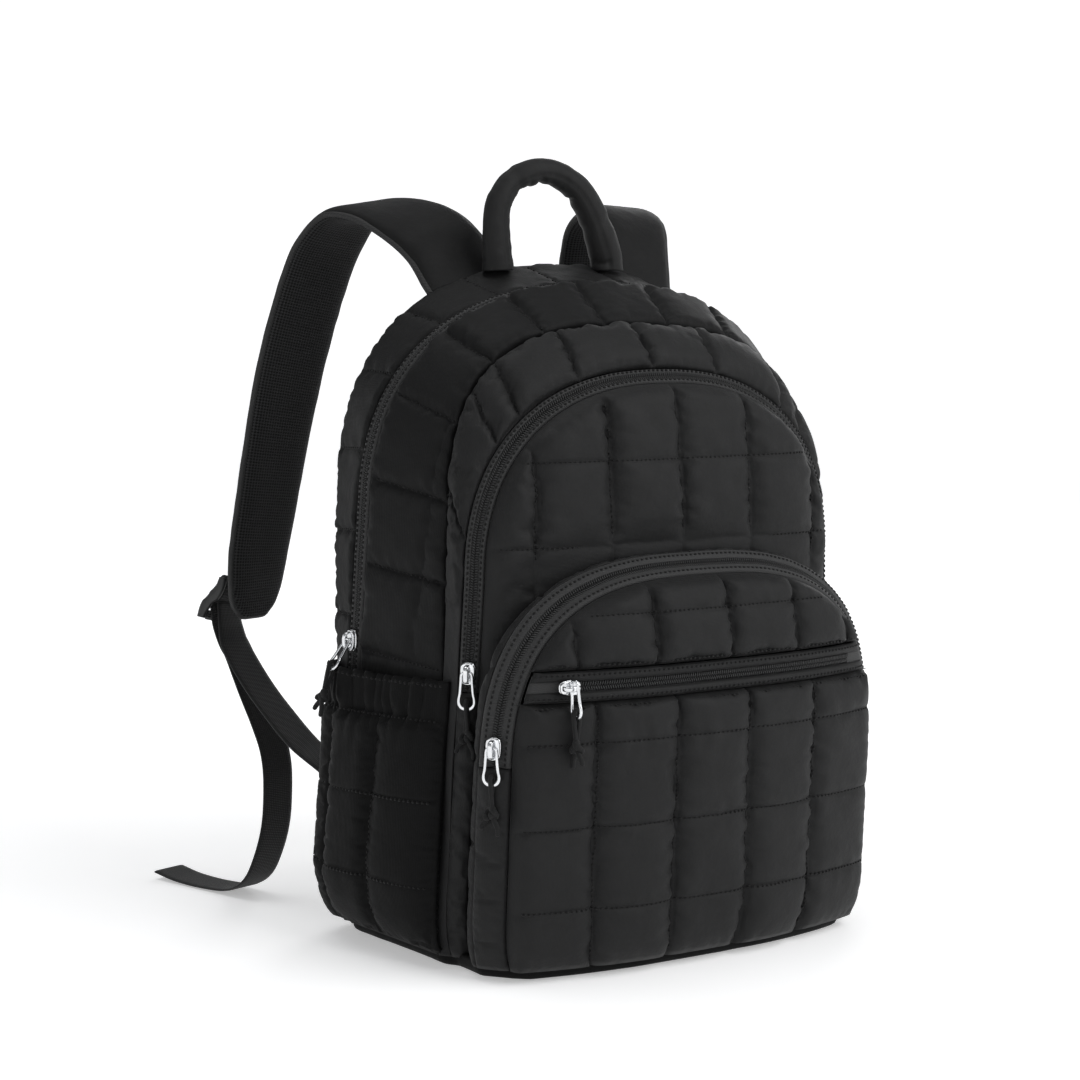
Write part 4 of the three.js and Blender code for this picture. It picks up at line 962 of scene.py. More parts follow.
RIGHT_STRAP = [
    (66.5, 70, 400.5, 0.95, 0, -0.31, 1, 0.5), (75, 86, 424, 0.96, 0, -0.22, 1, 1),
    (82, 100, 440, 0.97, 0, -0.16, 1, 1), (87, 115, 447, 0.98, 0, -0.08, 1, 1),
    (89, 131, 447, 1, 0, 0, 1, 1), (90, 145, 438, 1, 0, 0, 1, 1), (91, 153, 421, 1, 0, 0, 1, 1),
    (92, 158, 392, 1, -0.05, 0, 1, 1), (94, 162, 348, 1, -0.08, 0, 1, 1),
    (97, 166, 304, 0.99, -0.1, 0, 1, 1), (100, 170, 262, 0.99, -0.1, 0, 1, 1),
    (103, 174, 228, 0.98, -0.12, 0, 1, 1), (105, 176, 205, 0.98, -0.12, 0, 0.98, 1),
    (106, 177, 192, 0.98, -0.12, 0, 0.8, 1), (106.4, 177.4, 185, 0.98, -0.12, 0, 0.5, 1),
]
# Webbing: centre x, y, z, width direction x, y, z.
WEB = {"width": 25.0, "thick": 1.6}
LEFT_WEB = [
    (-163.2, 209.8, 192.3, -0.82, -0.53, 0.23), (-163, 206, 178, -0.88, -0.45, 0.1),
    (-162.4, 199, 164, -0.94, -0.33, 0), (-159, 178, 144, -0.96, -0.28, 0),
    (-155, 155, 127, -0.97, -0.25, 0), (-150, 125, 109, -0.98, -0.2, 0),
    (-142, 97, 96, -0.99, -0.1, 0), (-138, 88.8, 87, -1, 0, 0), (-138, 89.3, 78, -1, 0, 0),
]
LEFT_TAIL = [
    (-166.5, 214.9, 191.5, -0.82, -0.53, 0.23), (-166.7, 213.1, 187.1, -0.82, -0.53, 0.23),
    (-165, 211.5, 178, -0.88, -0.45, 0.1), (-161, 209.5, 168, -0.94, -0.33, 0),
    (-157, 206, 158, -0.96, -0.28, 0), (-154, 193, 136, -0.96, -0.28, 0),
    (-150, 181, 114, -0.96, -0.28, 0), (-147.5, 174, 97, -0.96, -0.28, 0),
    (-148, 169, 77.6, -0.96, -0.28, 0), (-150, 168.5, 51, -0.96, -0.28, 0),
    (-154.5, 172, 28.6, -0.96, -0.28, 0), (-158.5, 180, 13, -0.96, -0.28, 0),
    (-163, 196, 4, -0.96, -0.28, 0), (-170, 219, 1.7, -0.96, -0.28, 0),
    (-178, 245, 2.2, -0.96, -0.28, 0), (-184, 265, 5, -0.96, -0.28, 0),
]
LEFT_TAB = [
    (-151.4, 199.2, 222, -0.91, -0.42, 0), (-152.3, 200.6, 213, -0.9, -0.43, 0.05),
    (-154.5, 203.3, 208.5, -0.87, -0.48, 0.12), (-157.3, 206.2, 204.6, -0.82, -0.53, 0.23),
    (-159.5, 207.8, 200.4, -0.82, -0.53, 0.23),
]
RIGHT_WEB = [
    (106.6, 189.2, 195.1, 0.99, -0.16, 0.05), (107.6, 183, 180, 0.99, -0.16, 0),
    (112, 172, 164, 0.98, -0.18, 0), (121, 156, 146, 0.98, -0.18, 0),
    (131, 136, 124, 0.99, -0.1, 0), (137.5, 114, 106, 1, 0, 0),
    (139, 97, 95, 1, 0, 0), (138, 88.8, 87, 1, 0, 0), (138, 89.3, 78, 1, 0, 0),
]
RIGHT_TAIL = [
    (107.6, 194.6, 193.1, 0.99, -0.16, 0.05), (107.3, 191.7, 189.4, 0.99, -0.16, 0.05),
    (108.2, 191.5, 180, 0.99, -0.16, 0), (111.5, 192, 167, 0.98, -0.18, 0),
    (115.5, 192.5, 150, 0.98, -0.18, 0), (119, 190, 120, 0.98, -0.18, 0),
    (121, 186, 90, 0.98, -0.18, 0), (123, 186, 62, 0.98, -0.18, 0), (124, 190, 36, 0.98, -0.18, 0),
    (126, 200, 15, 0.98, -0.18, 0), (128, 216, 4, 0.98, -0.18, 0), (131, 238, 1.7, 0.98, -0.18, 0),
    (133, 258, 2, 0.98, -0.18, 0),
]
RIGHT_TAB = [
    (104.4, 180.5, 222, 0.98, -0.12, 0), (105.3, 181.7, 214.5, 0.98, -0.12, 0),
    (105.2, 183.4, 211, 0.98, -0.14, 0.03), (105.1, 184.8, 208.3, 0.99, -0.16, 0.05),
    (105.7, 186.5, 203.7, 0.99, -0.16, 0.05),
]
HANDLE = {"y": 60.0, "width": 20.0, "thick": 17.0}
HANDLE_LINE = [
    (-45, 410.9, 1.05), (-45.3, 415, 1), (-46.4, 428, 0.9), (-45.5, 448, 0.86), (-38, 460, 0.84),
    (-24, 468.5, 0.82), (-9, 470.5, 0.82), (5, 466, 0.86), (16.5, 457, 0.95), (25, 444, 1),
    (32.5, 427, 1.05), (36.4, 415, 1.08), (36.8, 411.5, 1.1),
]
GUSSET_SEAMS = [-305, -253, -203, -154, -109, -65, -19, 30, 80, 130, 180, 230, 280]
BAND_LINES = ([-97, -56, -3, 45, 97], [268, 322])


class BackpackFinish(bpy.types.PropertyGroup):
    """Colours of the cloth, webbing and plastic, as levels of linear grey"""

    nylon: bpy.props.FloatProperty(name="Nylon", description="Grey level of the quilted cloth",
                                   default=0.0072, min=0.001, max=0.5, precision=4)
    webbing: bpy.props.FloatProperty(name="Webbing", description="Grey level of the webbing",
                                     default=0.0045, min=0.001, max=0.5, precision=4)
    mesh: bpy.props.FloatProperty(name="Spacer mesh", description="Grey level of the strap mesh",
                                  default=0.009, min=0.001, max=0.5, precision=4)
    tape: bpy.props.FloatProperty(name="Zip tape", description="Grey level of the zip tapes",
                                  default=0.009, min=0.001, max=0.5, precision=4)
    lock: bpy.props.FloatProperty(name="Plastic", description="Grey level of the ladder locks",
                                  default=0.011, min=0.001, max=0.5, precision=4)
    thread: bpy.props.FloatProperty(name="Thread", description="Grey level of stitches and zip cords",
                                    default=0.0025, min=0.001, max=0.5, precision=4)


class BackpackSizes(bpy.types.PropertyGroup):
    """Sizes of the sewn details"""

    stitch: bpy.props.FloatProperty(name="Stitch", description="Length of one stitch",
                                    default=0.0025, min=0.001, max=0.01, unit="LENGTH", precision=4)
    pitch: bpy.props.FloatProperty(name="Stitch pitch", description="From one stitch to the next",
                                   default=0.0032, min=0.0015, max=0.02, unit="LENGTH", precision=4)
    coil: bpy.props.FloatProperty(name="Coil pitch", description="From one coil turn to the next",
                                  default=0.0015, min=0.001, max=0.01, unit="LENGTH", precision=4)
    puller: bpy.props.FloatProperty(name="Puller", description="Length of a zip puller",
                                    default=0.022, min=0.01, max=0.05, unit="LENGTH", precision=3)


def sizes():
    return bpy.context.scene.backpack_sizes


def sew(name, paths):
    s = sizes()
    obj = stitches(name, paths, finish("thread"), s.stitch / MM, s.pitch / MM)
    return settle(obj, "nylon")


class BACKPACK_OT_panels(bpy.types.Operator):
    """Quilted front panels of the two pockets"""

    bl_idname = "backpack.panels"
    bl_label = "Pocket panels"

    def execute(self, context):
        cloth = finish("nylon")
        low = STRIP_FOOT
        shift = settled(MIDDLE_IN, low, 1e3, MIDDLE_QUILT, middle_front)
        obj = panel("middle_panel_cloth", MIDDLE_IN, low, 1e3, MIDDLE_QUILT, middle_back, middle_front, cloth,
                    shift)
        settle(obj, "nylon", "middle_panel")
        covered = lambda x, z: LOWER_OUT.reach(x, z) < 1.1
        paths = grid_lines(middle_front, MIDDLE_IN, MIDDLE_QUILT, low, MIDDLE_IN.top, covered, shift)
        top_low, low_high = FRONT_ZIP[1] + GAP, FRONT_ZIP[0] - GAP
        shift = settled(LOWER_IN, top_low, 1e3, TOP_QUILT, TOP_FRONT)
        obj = panel("lower_top_cloth", LOWER_IN, top_low, 1e3, TOP_QUILT, lower_back, TOP_FRONT, cloth, shift)
        settle(obj, "nylon", "lower_panel_top")
        paths += grid_lines(TOP_FRONT, LOWER_IN, TOP_QUILT, top_low, LOWER_IN.top, None, shift)
        shift = settled(LOWER_IN, low, low_high, LOWER_QUILT, LOW_FRONT)
        obj = panel("lower_panel_cloth", LOWER_IN, low, low_high, LOWER_QUILT, lower_back, LOW_FRONT, cloth,
                    shift)
        settle(obj, "nylon", "lower_panel")
        paths += grid_lines(LOW_FRONT, LOWER_IN, LOWER_QUILT, low, low_high, None, shift)
        for z0, surface in ((top_low + 2.6, TOP_FRONT), (low_high - 2.6, LOW_FRONT)):
            x = np.arange(-LOWER_IN.side, LOWER_IN.side, 1.0)
            keep = (1 - LOWER_IN.reach(x, z0)) * LOWER_IN.side > 4
            paths.append(line_on(surface, x[keep], z0 + 0 * x[keep]))
        sew("panel_stitches", paths)
        return {"FINISHED"}


def band_surface(rows=24):
    """The domed band between the front seam and the middle zip, and where its seams hold it."""
    rim = shift_y(FRONT.line(), -GAP / 2)
    edge = shift_y(MIDDLE_OUT.line(), GAP)
    mid = (rim + edge) / 2
    run = arc_run(mid)
    top = mid[:, 2] > 280
    seams = [float(np.interp(x, mid[top, 0], run[top])) for x in BAND_LINES[0]]
    for level in BAND_LINES[1]:
        half = len(mid) // 2
        seams.append(float(np.interp(level, mid[:half, 2], run[:half])))
        seams.append(float(run[-1] - seams[-1]))
    seams = np.sort(seams) - run[-1] / 2
    rim, edge = on_seams(rim, edge, seams)
    grid, along, across, width = strip_grid(rim, edge, rows)
    t = np.gradient(grid, axis=0)
    n = np.stack([-t[..., 2], 0 * t[..., 0], t[..., 0]], -1)
    n /= np.linalg.norm(n, axis=-1, keepdims=True) + 1e-9
    n = n * (1, 0, 1) + np.array([0, -0.9, 0])
    free = np.clip((grid[..., 2] - 200) / 80, 0, 1)
    share = across / width
    dome = 4.6 * np.sin(np.pi * share) ** 0.6 * (1.1 - 0.35 * share) * free
    border_run = np.minimum(across, width - across)
    s = along - along[-1].max() / 2
    h = quilting(s, across, seams, [], border_run, 1.7, 41)
    narrow = np.clip((width - 6) / 22, 0.25, 1)
    pleat = value_noise(np.stack([s, across * 0.3], -1), 4.8, 43) + 0.5
    pleat = pleat * 1.5 * np.exp(-across / 8) * np.clip(across / 1.5, 0, 1)
    pleat = pleat * np.clip((grid[..., 2] - 230) / 60, 0, 1)
    crease = np.exp(-(nearest(s, seams)[0] / 1.6) ** 2) * 0.7 * np.sin(np.pi * share) * free
    rise = dome + np.maximum(h, -1.3) * narrow + pleat - crease
    held = nearest(s, seams)[0] < 0.7
    return grid + n / np.linalg.norm(n, axis=-1, keepdims=True) * rise[..., None], held


class BACKPACK_OT_walls(bpy.types.Operator):
    """Side cloth, front band, back panel and inner wall"""

    bl_idname = "backpack.walls"
    bl_label = "Walls"

    def execute(self, context):
        # side is the darker copy of the nylon: painted shade on the side cloth
        cloth, side = finish("nylon"), finish("side")
        half = MAIN_TAPE / 2 + GAP
        behind = lambda grid: np.clip((grid[..., 2] - POCKET["hem"]) / 20, 0, 1)
        back, zip_line, front = BACK.line(), ZIP.line(), FRONT.line()
        obj, grid, nor, paths = side_strip(
            "rear_side_cloth", back, shift_y(zip_line, half), GUSSET_SEAMS, [], 3, side,
            rows=15, height=1.1, flat=behind)
        settle(obj, "nylon", "rear_gusset")
        obj, grid, nor, more = side_strip(
            "front_side_cloth", shift_y(zip_line, -half), shift_y(front, GAP / 2), GUSSET_SEAMS, [44], 7,
            side, rows=27, height=2.5, flat=behind)
        settle(obj, "nylon", "front_gusset")
        sew("side_stitches", paths + more)

        band, held = band_surface()
        if (normals(band) * (0, -1, 0)).sum(-1).mean() < 0:
            band, held = band[:, ::-1], held[:, ::-1]
        every = np.ones(held.shape, bool)
        band = inflate(band, every, held | border(every) | (band[..., 2] < 215), cap=1.5)
        obj = wall("front_band_cloth", band, CLOTH, cloth)
        nor = normals(band)
        sewn = [i for i in range(4, len(band) - 4) if held[i, 5] and band[i, 5, 2] > 200]
        sew("band_stitches", [(band[i, 1:-1], nor[i, 1:-1]) for i in sewn])
        settle(obj, "nylon", "front_panel")
        inner = lambda x, z: MIDDLE_OUT.plane(z) + GAP + CLOTH + 0 * x
        face = lambda x, z: MIDDLE_OUT.plane(z) + GAP + 0.2 + value_noise(np.stack([x, z], -1), 30, 4) * 0.1
        seam = Seam("middle", 1.0)
        obj = panel("inner_front_wall", seam, STRIP_FOOT, 1e3, ([0], [200]), inner, face, finish("lining"))
        settle(obj, "nylon", "front_panel")
        self.back_panel(cloth)
        return {"FINISHED"}

    def back_panel(self, cloth):
        seam = Seam("back", CLOTH + 2 * GAP)
        lines = ([-62, -12, 12, 62], [62, 114, 166, 218, 270, 322])

        def outer(x, z):
            edge = panel_edge(seam, x, z, STRIP_FOOT, 1e3)
            h = quilting(x, z, lines[0], lines[1], edge, 5.0, 51, cross=0.35)
            channel = np.where(np.abs(x) < 12, 0.25, 1)
            return seam.plane(z) + crown(seam, 2, x, z) - 0.5 + np.maximum(h, 0) * channel

        def inner(x, z):
            edge = panel_edge(seam, x, z, STRIP_FOOT, 1e3)
            return seam.plane(z) - 1.3 - crown(seam, 6, x, z) * np.clip(edge / 6, 0, 1)

        shift = settled(seam, STRIP_FOOT, 1e3, lines, outer, turn=-1, grow=0.04)
        obj = panel("back_panel_cloth", seam, STRIP_FOOT, 1e3, lines, inner, outer, cloth, shift)
        obj.data.flip_normals()
        settle(obj, "nylon", "back_panel")
        paths = []
        for path, nor in grid_lines(outer, seam, lines, STRIP_FOOT, seam.top, None, shift):
            paths.append((path + (0, 0.24, 0), -nor))
        sew("back_stitches", paths)


class BACKPACK_OT_zips(bpy.types.Operator):
    """Zip tapes with their coils, and the cloth below the zip ends"""

    bl_idname = "backpack.zips"
    bl_label = "Zips"

    def execute(self, context):
        tape = finish("tape")
        zip_line = ZIP.line()
        half = MAIN_TAPE / 2
        self.zip("main_zip", shift_y(zip_line, half), shift_y(zip_line, -half), tape)
        for name, out, into, level in (("middle", MIDDLE_OUT, MIDDLE_IN, ZIP_END["middle"]),
                                       ("lower", LOWER_OUT, LOWER_IN, ZIP_END["lower"])):
            a, b = above(out.line(), level), above(into.line(), level)
            count = int(arc_run(a)[-1] / 2.6)
            self.zip(name + "_zip", resample(a, count), resample(b, count), tape)
            for side, word in ((-1, "left"), (1, "right")):
                a, b = below(out.line(), level - GAP, side), below(into.line(), level - GAP, side)
                grid, along, across, width = strip_grid(a, b, 11)
                edge = np.minimum(across, width - across)
                nor = normals(grid)
                sign = np.sign((nor * (side, -0.6, 0)).sum(-1).mean())
                h = 1.9 * (1 - np.exp(-edge / 2.4)) + value_noise(np.stack([along, across], -1), 17, 9) * 0.6
                outer = grid + nor * sign * h[..., None]
                outer = outer if sign > 0 else outer[:, ::-1]
                every = np.ones(outer.shape[:2], bool)
                rows_held = nearest(outer[..., 2], [50, 99])[0] < 1.5
                outer = inflate(outer, every, border(every) | rows_held, grow=0.07, cap=2.5)
                obj = wall(f"{name}_edge_{word}_cloth", outer, CLOTH, finish("nylon"))
                node = f"middle_gusset_{word}" if name == "middle" else f"lower_edge_{word}"
                settle(obj, "nylon", node)
        self.lower_gusset()
        self.front_zip(tape)
        return {"FINISHED"}

    def zip(self, node, first, last, tape):
        obj, outer, nor, line, across, up = zip_strip(node + "_tape", first, last, tape)
        settle(obj, "zip_tape", node)
        obj = coil(node + "_coil", line, across, up, finish("coil"), sizes().coil / MM)
        settle(obj, "zip_tape", node)
        m = outer.shape[1]
        paths = []
        for col in (round(m * 0.16), m - 1 - round(m * 0.16)):
            paths.append((outer[:, col], nor[:, col]))
        sew(node + "_stitches", paths)

    def lower_gusset(self):
        out = LOWER_OUT.line()
        plain = lambda x, z: middle_back(x, z) - PANEL
        root_seam = Seam("lower")
        root_seam.foot, root_seam.side, root_seam.top = 132.0, 127.0, 236.0
        root = root_seam.line()
        root[:, 1] = plain(root[:, 0], root[:, 2]) - GAP
        lip_line = shift_y(out, GAP)
        grid, along, across, width = strip_grid(root, lip_line, 13)
        edge = np.minimum(across, width - across)
        nor = normals(grid)
        sign = np.sign((nor * (grid - np.array((0, -60, 80)))).sum(-1).mean())
        s = along - along[-1].max() / 2
        h = quilting(s, across, [-250, -200, -150, -100, -50, 0, 50, 100, 150, 200, 250], [], edge, 2.4, 61)
        outer = grid + nor * sign * np.maximum(h, 0)[..., None]
        outer = outer if sign > 0 else outer[:, ::-1]
        every = np.ones(outer.shape[:2], bool)
        outer = inflate(outer, every, border(every), grow=0.05, cap=2.0)
        obj = wall("lower_side_cloth", outer, CLOTH * 0.8, finish("nylon"))
        settle(obj, "nylon", "lower_gusset")

    def front_zip(self, tape):
        low, high = FRONT_ZIP
        mid = (low + high) / 2
        half = LOWER_IN.width(mid) - 3.0
        x = np.linspace(-half, half, int(half / 1.2))
        fade = 1 - np.exp(-(half - np.abs(x)) / 6)
        paths = []

        def strip(name, z0, z1, rows, lift, thick, material, slot):
            gx, gz = np.meshgrid(x, np.linspace(z0, z1, rows), indexing="ij")
            t = (gz - z0) / (z1 - z0)
            gx = gx / half * (LOWER_IN.width(gz) - 0.6)
            bumpy = value_noise(np.stack([gx, gz], -1), 11, 8) * 0.25
            h = (lift(t) + bumpy) * fade[:, None]
            outer = np.stack([gx, lower_back(gx, gz) - TAPE - h, gz], -1)
            obj = wall(name, outer, thick, material)
            settle(obj, slot, "front_zip")
            return outer

        strip("front_zip_tape", low + 2, high - 2, 13, lambda t: 0.5 + 0 * t, 1.2, tape, "zip_tape")
        fold = lambda t: 1.1 + 2.0 * np.sin(np.pi * np.clip(t, 0, 1)) ** 0.6
        for word, z0, z1 in (("lower", low, mid - 2.9), ("upper", mid + 2.9, high)):
            outer = strip(f"front_zip_{word}_flap", z0, z1, 9, fold, 1.0, finish("nylon"), "nylon")
            col = 3 if word == "lower" else 5
            paths.append((outer[:, col], np.tile([0.0, -1, 0], (len(x), 1))))
        keep = (x > -half + 14) & (x < half - 12)
        y_mid = lower_back(x, mid + 0 * x) - TAPE - 0.6
        line = np.stack([x, y_mid, mid + 0 * x], 1)[keep]
        up = np.gradient(line, axis=0)
        up = np.stack([up[:, 1], -up[:, 0], 0 * up[:, 0]], 1)
        up = up * -np.sign(up[:, 1:2])
        obj = coil("front_zip_coil", line, np.tile([0.0, 0, 1], (len(line), 1)), up, finish("coil"),
                   sizes().coil / MM)
        settle(obj, "zip_tape", "front_zip")
        sew("front_zip_stitches", paths)


def side_x(y, z):
    """Half width of the bag's side at a place, between the seams."""
    tape = MAIN_TAPE / 2 + GAP
    marks = [(BACK.plane(z), BACK.half(z)), (ZIP.plane(z) + tape, ZIP.half(z)),
             (ZIP.plane(z) - tape, ZIP.half(z)), (FRONT.plane(z), FRONT.half(z))]
    out = np.zeros_like(y)
    for (ya, xa), (yb, xb) in zip(marks[:-1], marks[1:]):
        t = np.clip((y - ya) / (yb - ya), 0, 1)
        hit = (y <= ya + 1e-9)
        out = np.where(hit, lerp(xa, xb, t), out)
    return np.where(y > marks[0][0], marks[0][1], out)


class BACKPACK_OT_pockets(bpy.types.Operator):
    """Side pockets with a gathered elastic top"""

    bl_idname = "backpack.pockets"
    bl_label = "Side pockets"

    def execute(self, context):
        for side, word in ((-1, "left"), (1, "right")):
            self.pocket(side, word)
        return {"FINISHED"}

    def pocket(self, side, word):
        u, v = np.meshgrid(np.linspace(0, 1, 96), np.linspace(0, 1, 100), indexing="ij")
        z = lerp(POCKET["foot"], POCKET["hem"], v)
        corner = ZIP.plane(z) + MAIN_TAPE / 2 + GAP
        c = POCKET["corner"]
        y = np.where(u < c, lerp(POCKET["front"], corner, u / c),
                     lerp(corner, BACK.plane(z) - POCKET["back"], (u - c) / (1 - c)))
        belly = (1 - np.abs(2 * u - 1) ** 3) ** 0.8
        rise = np.minimum(v / 0.22, 1) ** 0.6
        band = ease((z - POCKET["stitch"] + 2.5) / 5)
        near = np.exp(-np.abs(z - POCKET["stitch"]) / 2.2)
        out = POCKET["bulge"] * lerp(1 - 0.3 * v, 0.55, band) * belly * rise
        s = u * 122
        seed = 71 if side < 0 else 77
        quilt = quilting(s, z, [44, 84], [50, 99], np.minimum(np.minimum(s, 122 - s), z - 10), 3.0, seed,
                         pucker=0.35)
        warp = s + value_noise(np.stack([s, z * 0.4], -1), 14, seed + 1) * 4.5
        folds = np.abs(np.sin(warp / 122 * np.pi * 14)) ** 0.6
        folds = folds * (0.8 + 0.5 * value_noise(np.stack([s, z * 0.3], -1), 9, seed + 2)) * 5.0
        folds = folds + value_noise(np.stack([warp, z * 0.5], -1), 3.8, seed + 4) * 0.7
        reachy = np.exp(-np.maximum(POCKET["stitch"] - z, 0) / 9)
        gather = np.abs(np.sin(warp / 122 * np.pi * 14 + 0.4)) * 2.2 * reachy
        rim = np.minimum(s, 122 - s)
        cloth = CLOTH + (lerp(quilt * (1 - 0.5 * reachy) + gather, folds, band) * belly * rise)
        cloth = cloth - near * 2.0 * belly - 1.2 * ease((z - POCKET["hem"] + 2) / 2)
        cloth = np.maximum(cloth, 0.8) * (0.12 + 0.88 * (1 - np.exp(-rim / 4)))
        x = side * (side_x(y, z) + 2 * GAP + out + cloth)
        hem = z + (folds * 0.5 - 0.8) * band * belly
        outer = np.stack([x, y, hem], -1)
        lines = (np.abs(s - 44) < 1) | (np.abs(s - 84) < 1)
        held = lines | (z > POCKET["stitch"] - 1.3)
        if (normals(outer)[..., 0] * side).mean() < 0:
            outer, held = outer[::-1], held[::-1]
        every = np.ones(held.shape, bool)
        outer = inflate(outer, every, held | border(every), grow=0.07, cap=2.4)
        # The pocket finish is the darkest copy of the nylon: painted shade on the side pockets
        obj = wall(f"side_pocket_{word}_cloth", outer, 2.2, finish("pocket"))
        settle(obj, "nylon", f"side_pocket_{word}")
        nor = normals(outer)
        paths = []
        for level in (POCKET["stitch"], POCKET["hem"] - 2.5):
            col = int((level - POCKET["foot"]) / (POCKET["hem"] - POCKET["foot"]) * 99)
            paths.append((outer[2:-2, col], nor[2:-2, col]))
        for level in (50, 99):
            col = int((level - POCKET["foot"]) / (POCKET["hem"] - POCKET["foot"]) * 99)
            paths.append((outer[3:-3, col], nor[3:-3, col]))
        for at in (44, 84):
            row = int(at / 122 * 95)
            row = row if (outer[0, 0, 1] < outer[-1, 0, 1]) else 95 - row
            paths.append((outer[row, 4:80], nor[row, 4:80]))
        sew(f"side_pocket_{word}_stitches", paths)


class BACKPACK_OT_base(bpy.types.Operator):
    """Flat tray under the bag"""

    bl_idname = "backpack.base"
    bl_label = "Base"

    def execute(self, context):
        side = [(BACK.foot - 12, BACK.plane(0)), (BACK.foot - 2, BACK.plane(0) - 7), (ZIP.foot, ZIP.plane(0)),
                (lerp(ZIP.foot, FRONT.foot, 0.5), 20), (FRONT.foot, FRONT.plane(0)),
                (MIDDLE_OUT.foot, MIDDLE_OUT.plane(0) - 2), (LOWER_OUT.foot, LOWER_OUT.plane(0)),
                (LOWER_IN.foot, LOWER_IN.plane(0))]
        front = []
        for t in np.linspace(-1, 1, 33)[1:-1]:
            front.append((-LOWER_IN.foot * t,
                          LOWER_IN.plane(0) - PANEL - crown(LOWER_IN, LOWER_CROWN, LOWER_IN.foot * t, 0.0)))
        plan = np.array(side + front + [(-x, y) for x, y in side[::-1]], float)
        loop = np.vstack([plan, plan[:1]])
        flat = np.concatenate([loop, np.zeros((len(loop), 1))], 1)
        plan = resample(flat, 300)[:-1, :2]
        r = np.linalg.norm(plan, axis=1, keepdims=True)
        wave = value_noise(plan, 14, 81)[:, None] * 0.35
        rings = []
        for step, z in ((19, 0), (15, 0.1), (12.2, 0.7), (10.2, 2.0), (9.1, 4), (8.8, 6), (8.9, 7.8),
                        (9.2, RIM - 0.8), (10, RIM - 0.1), (11.2, RIM - 0.1), (12.4, 6), (17, CLOTH)):
            bulge = wave if 0 < z < RIM else 0
            rings.append(np.concatenate([plan * (1 - (step + bulge) / r), np.full((len(plan), 1), z)], 1))
        n = len(plan)
        points = np.concatenate(rings + [[[0, 0, 0]], [[0, 0, CLOTH]]])
        faces = []
        for k in range(len(rings) - 1):
            for i in range(n):
                j = (i + 1) % n
                faces.append((k * n + i, k * n + j, (k + 1) * n + j, (k + 1) * n + i))
        last = (len(rings) - 1) * n
        under, over = len(points) - 2, len(points) - 1
        for i in range(n):
            j = (i + 1) % n
            faces.append((j, i, under))
            faces.append((last + i, last + j, over))
        # The pocket finish is the darkest copy of the nylon: painted shade under the foot of the bag
        obj = soft("base_cloth", points, faces, finish("pocket"))
        settle(obj, "nylon", "base")
        return {"FINISHED"}


def stations(rows, count, wide, deep):
    """Even stations through a table: centre, width direction, width and thickness."""
    p = smooth_path(rows, count)
    shares = p[:, 6:8] if p.shape[1] > 6 else np.ones((count, 2))
    return np.concatenate([p[:, :6], shares[:, :1] * wide, shares[:, 1:2] * deep], 1)


def lens(low, high, count=28):
    """Half of a padded section: flat inside, domed outside."""
    x = np.linspace(-0.5, 0.5, count)
    dome = (1 - np.abs(x / 0.5) ** 4.5) ** 0.55
    top = low + (high - low) * dome
    pts = [(a, b) for a, b in zip(x, top)]
    return pts + [(0.5, 0), (0.2, 0), (-0.2, 0), (-0.5, 0)]


def flat_section(count=11):
    """A thin band with rounded edges."""
    x = np.linspace(-0.5, 0.5, count)
    lower = [(a, -0.5) for a in x[1:-1]]
    upper = [(a, 0.5) for a in x[1:-1][::-1]]
    return lower + [(0.497, -0.28), (0.497, 0.28)] + upper + [(-0.497, 0.28), (-0.497, -0.28)]


def round_section(count):
    a = np.linspace(0, 2 * math.pi, count, endpoint=False)
    return np.stack([0.5 * np.cos(a), 0.5 * np.sin(a)], 1)


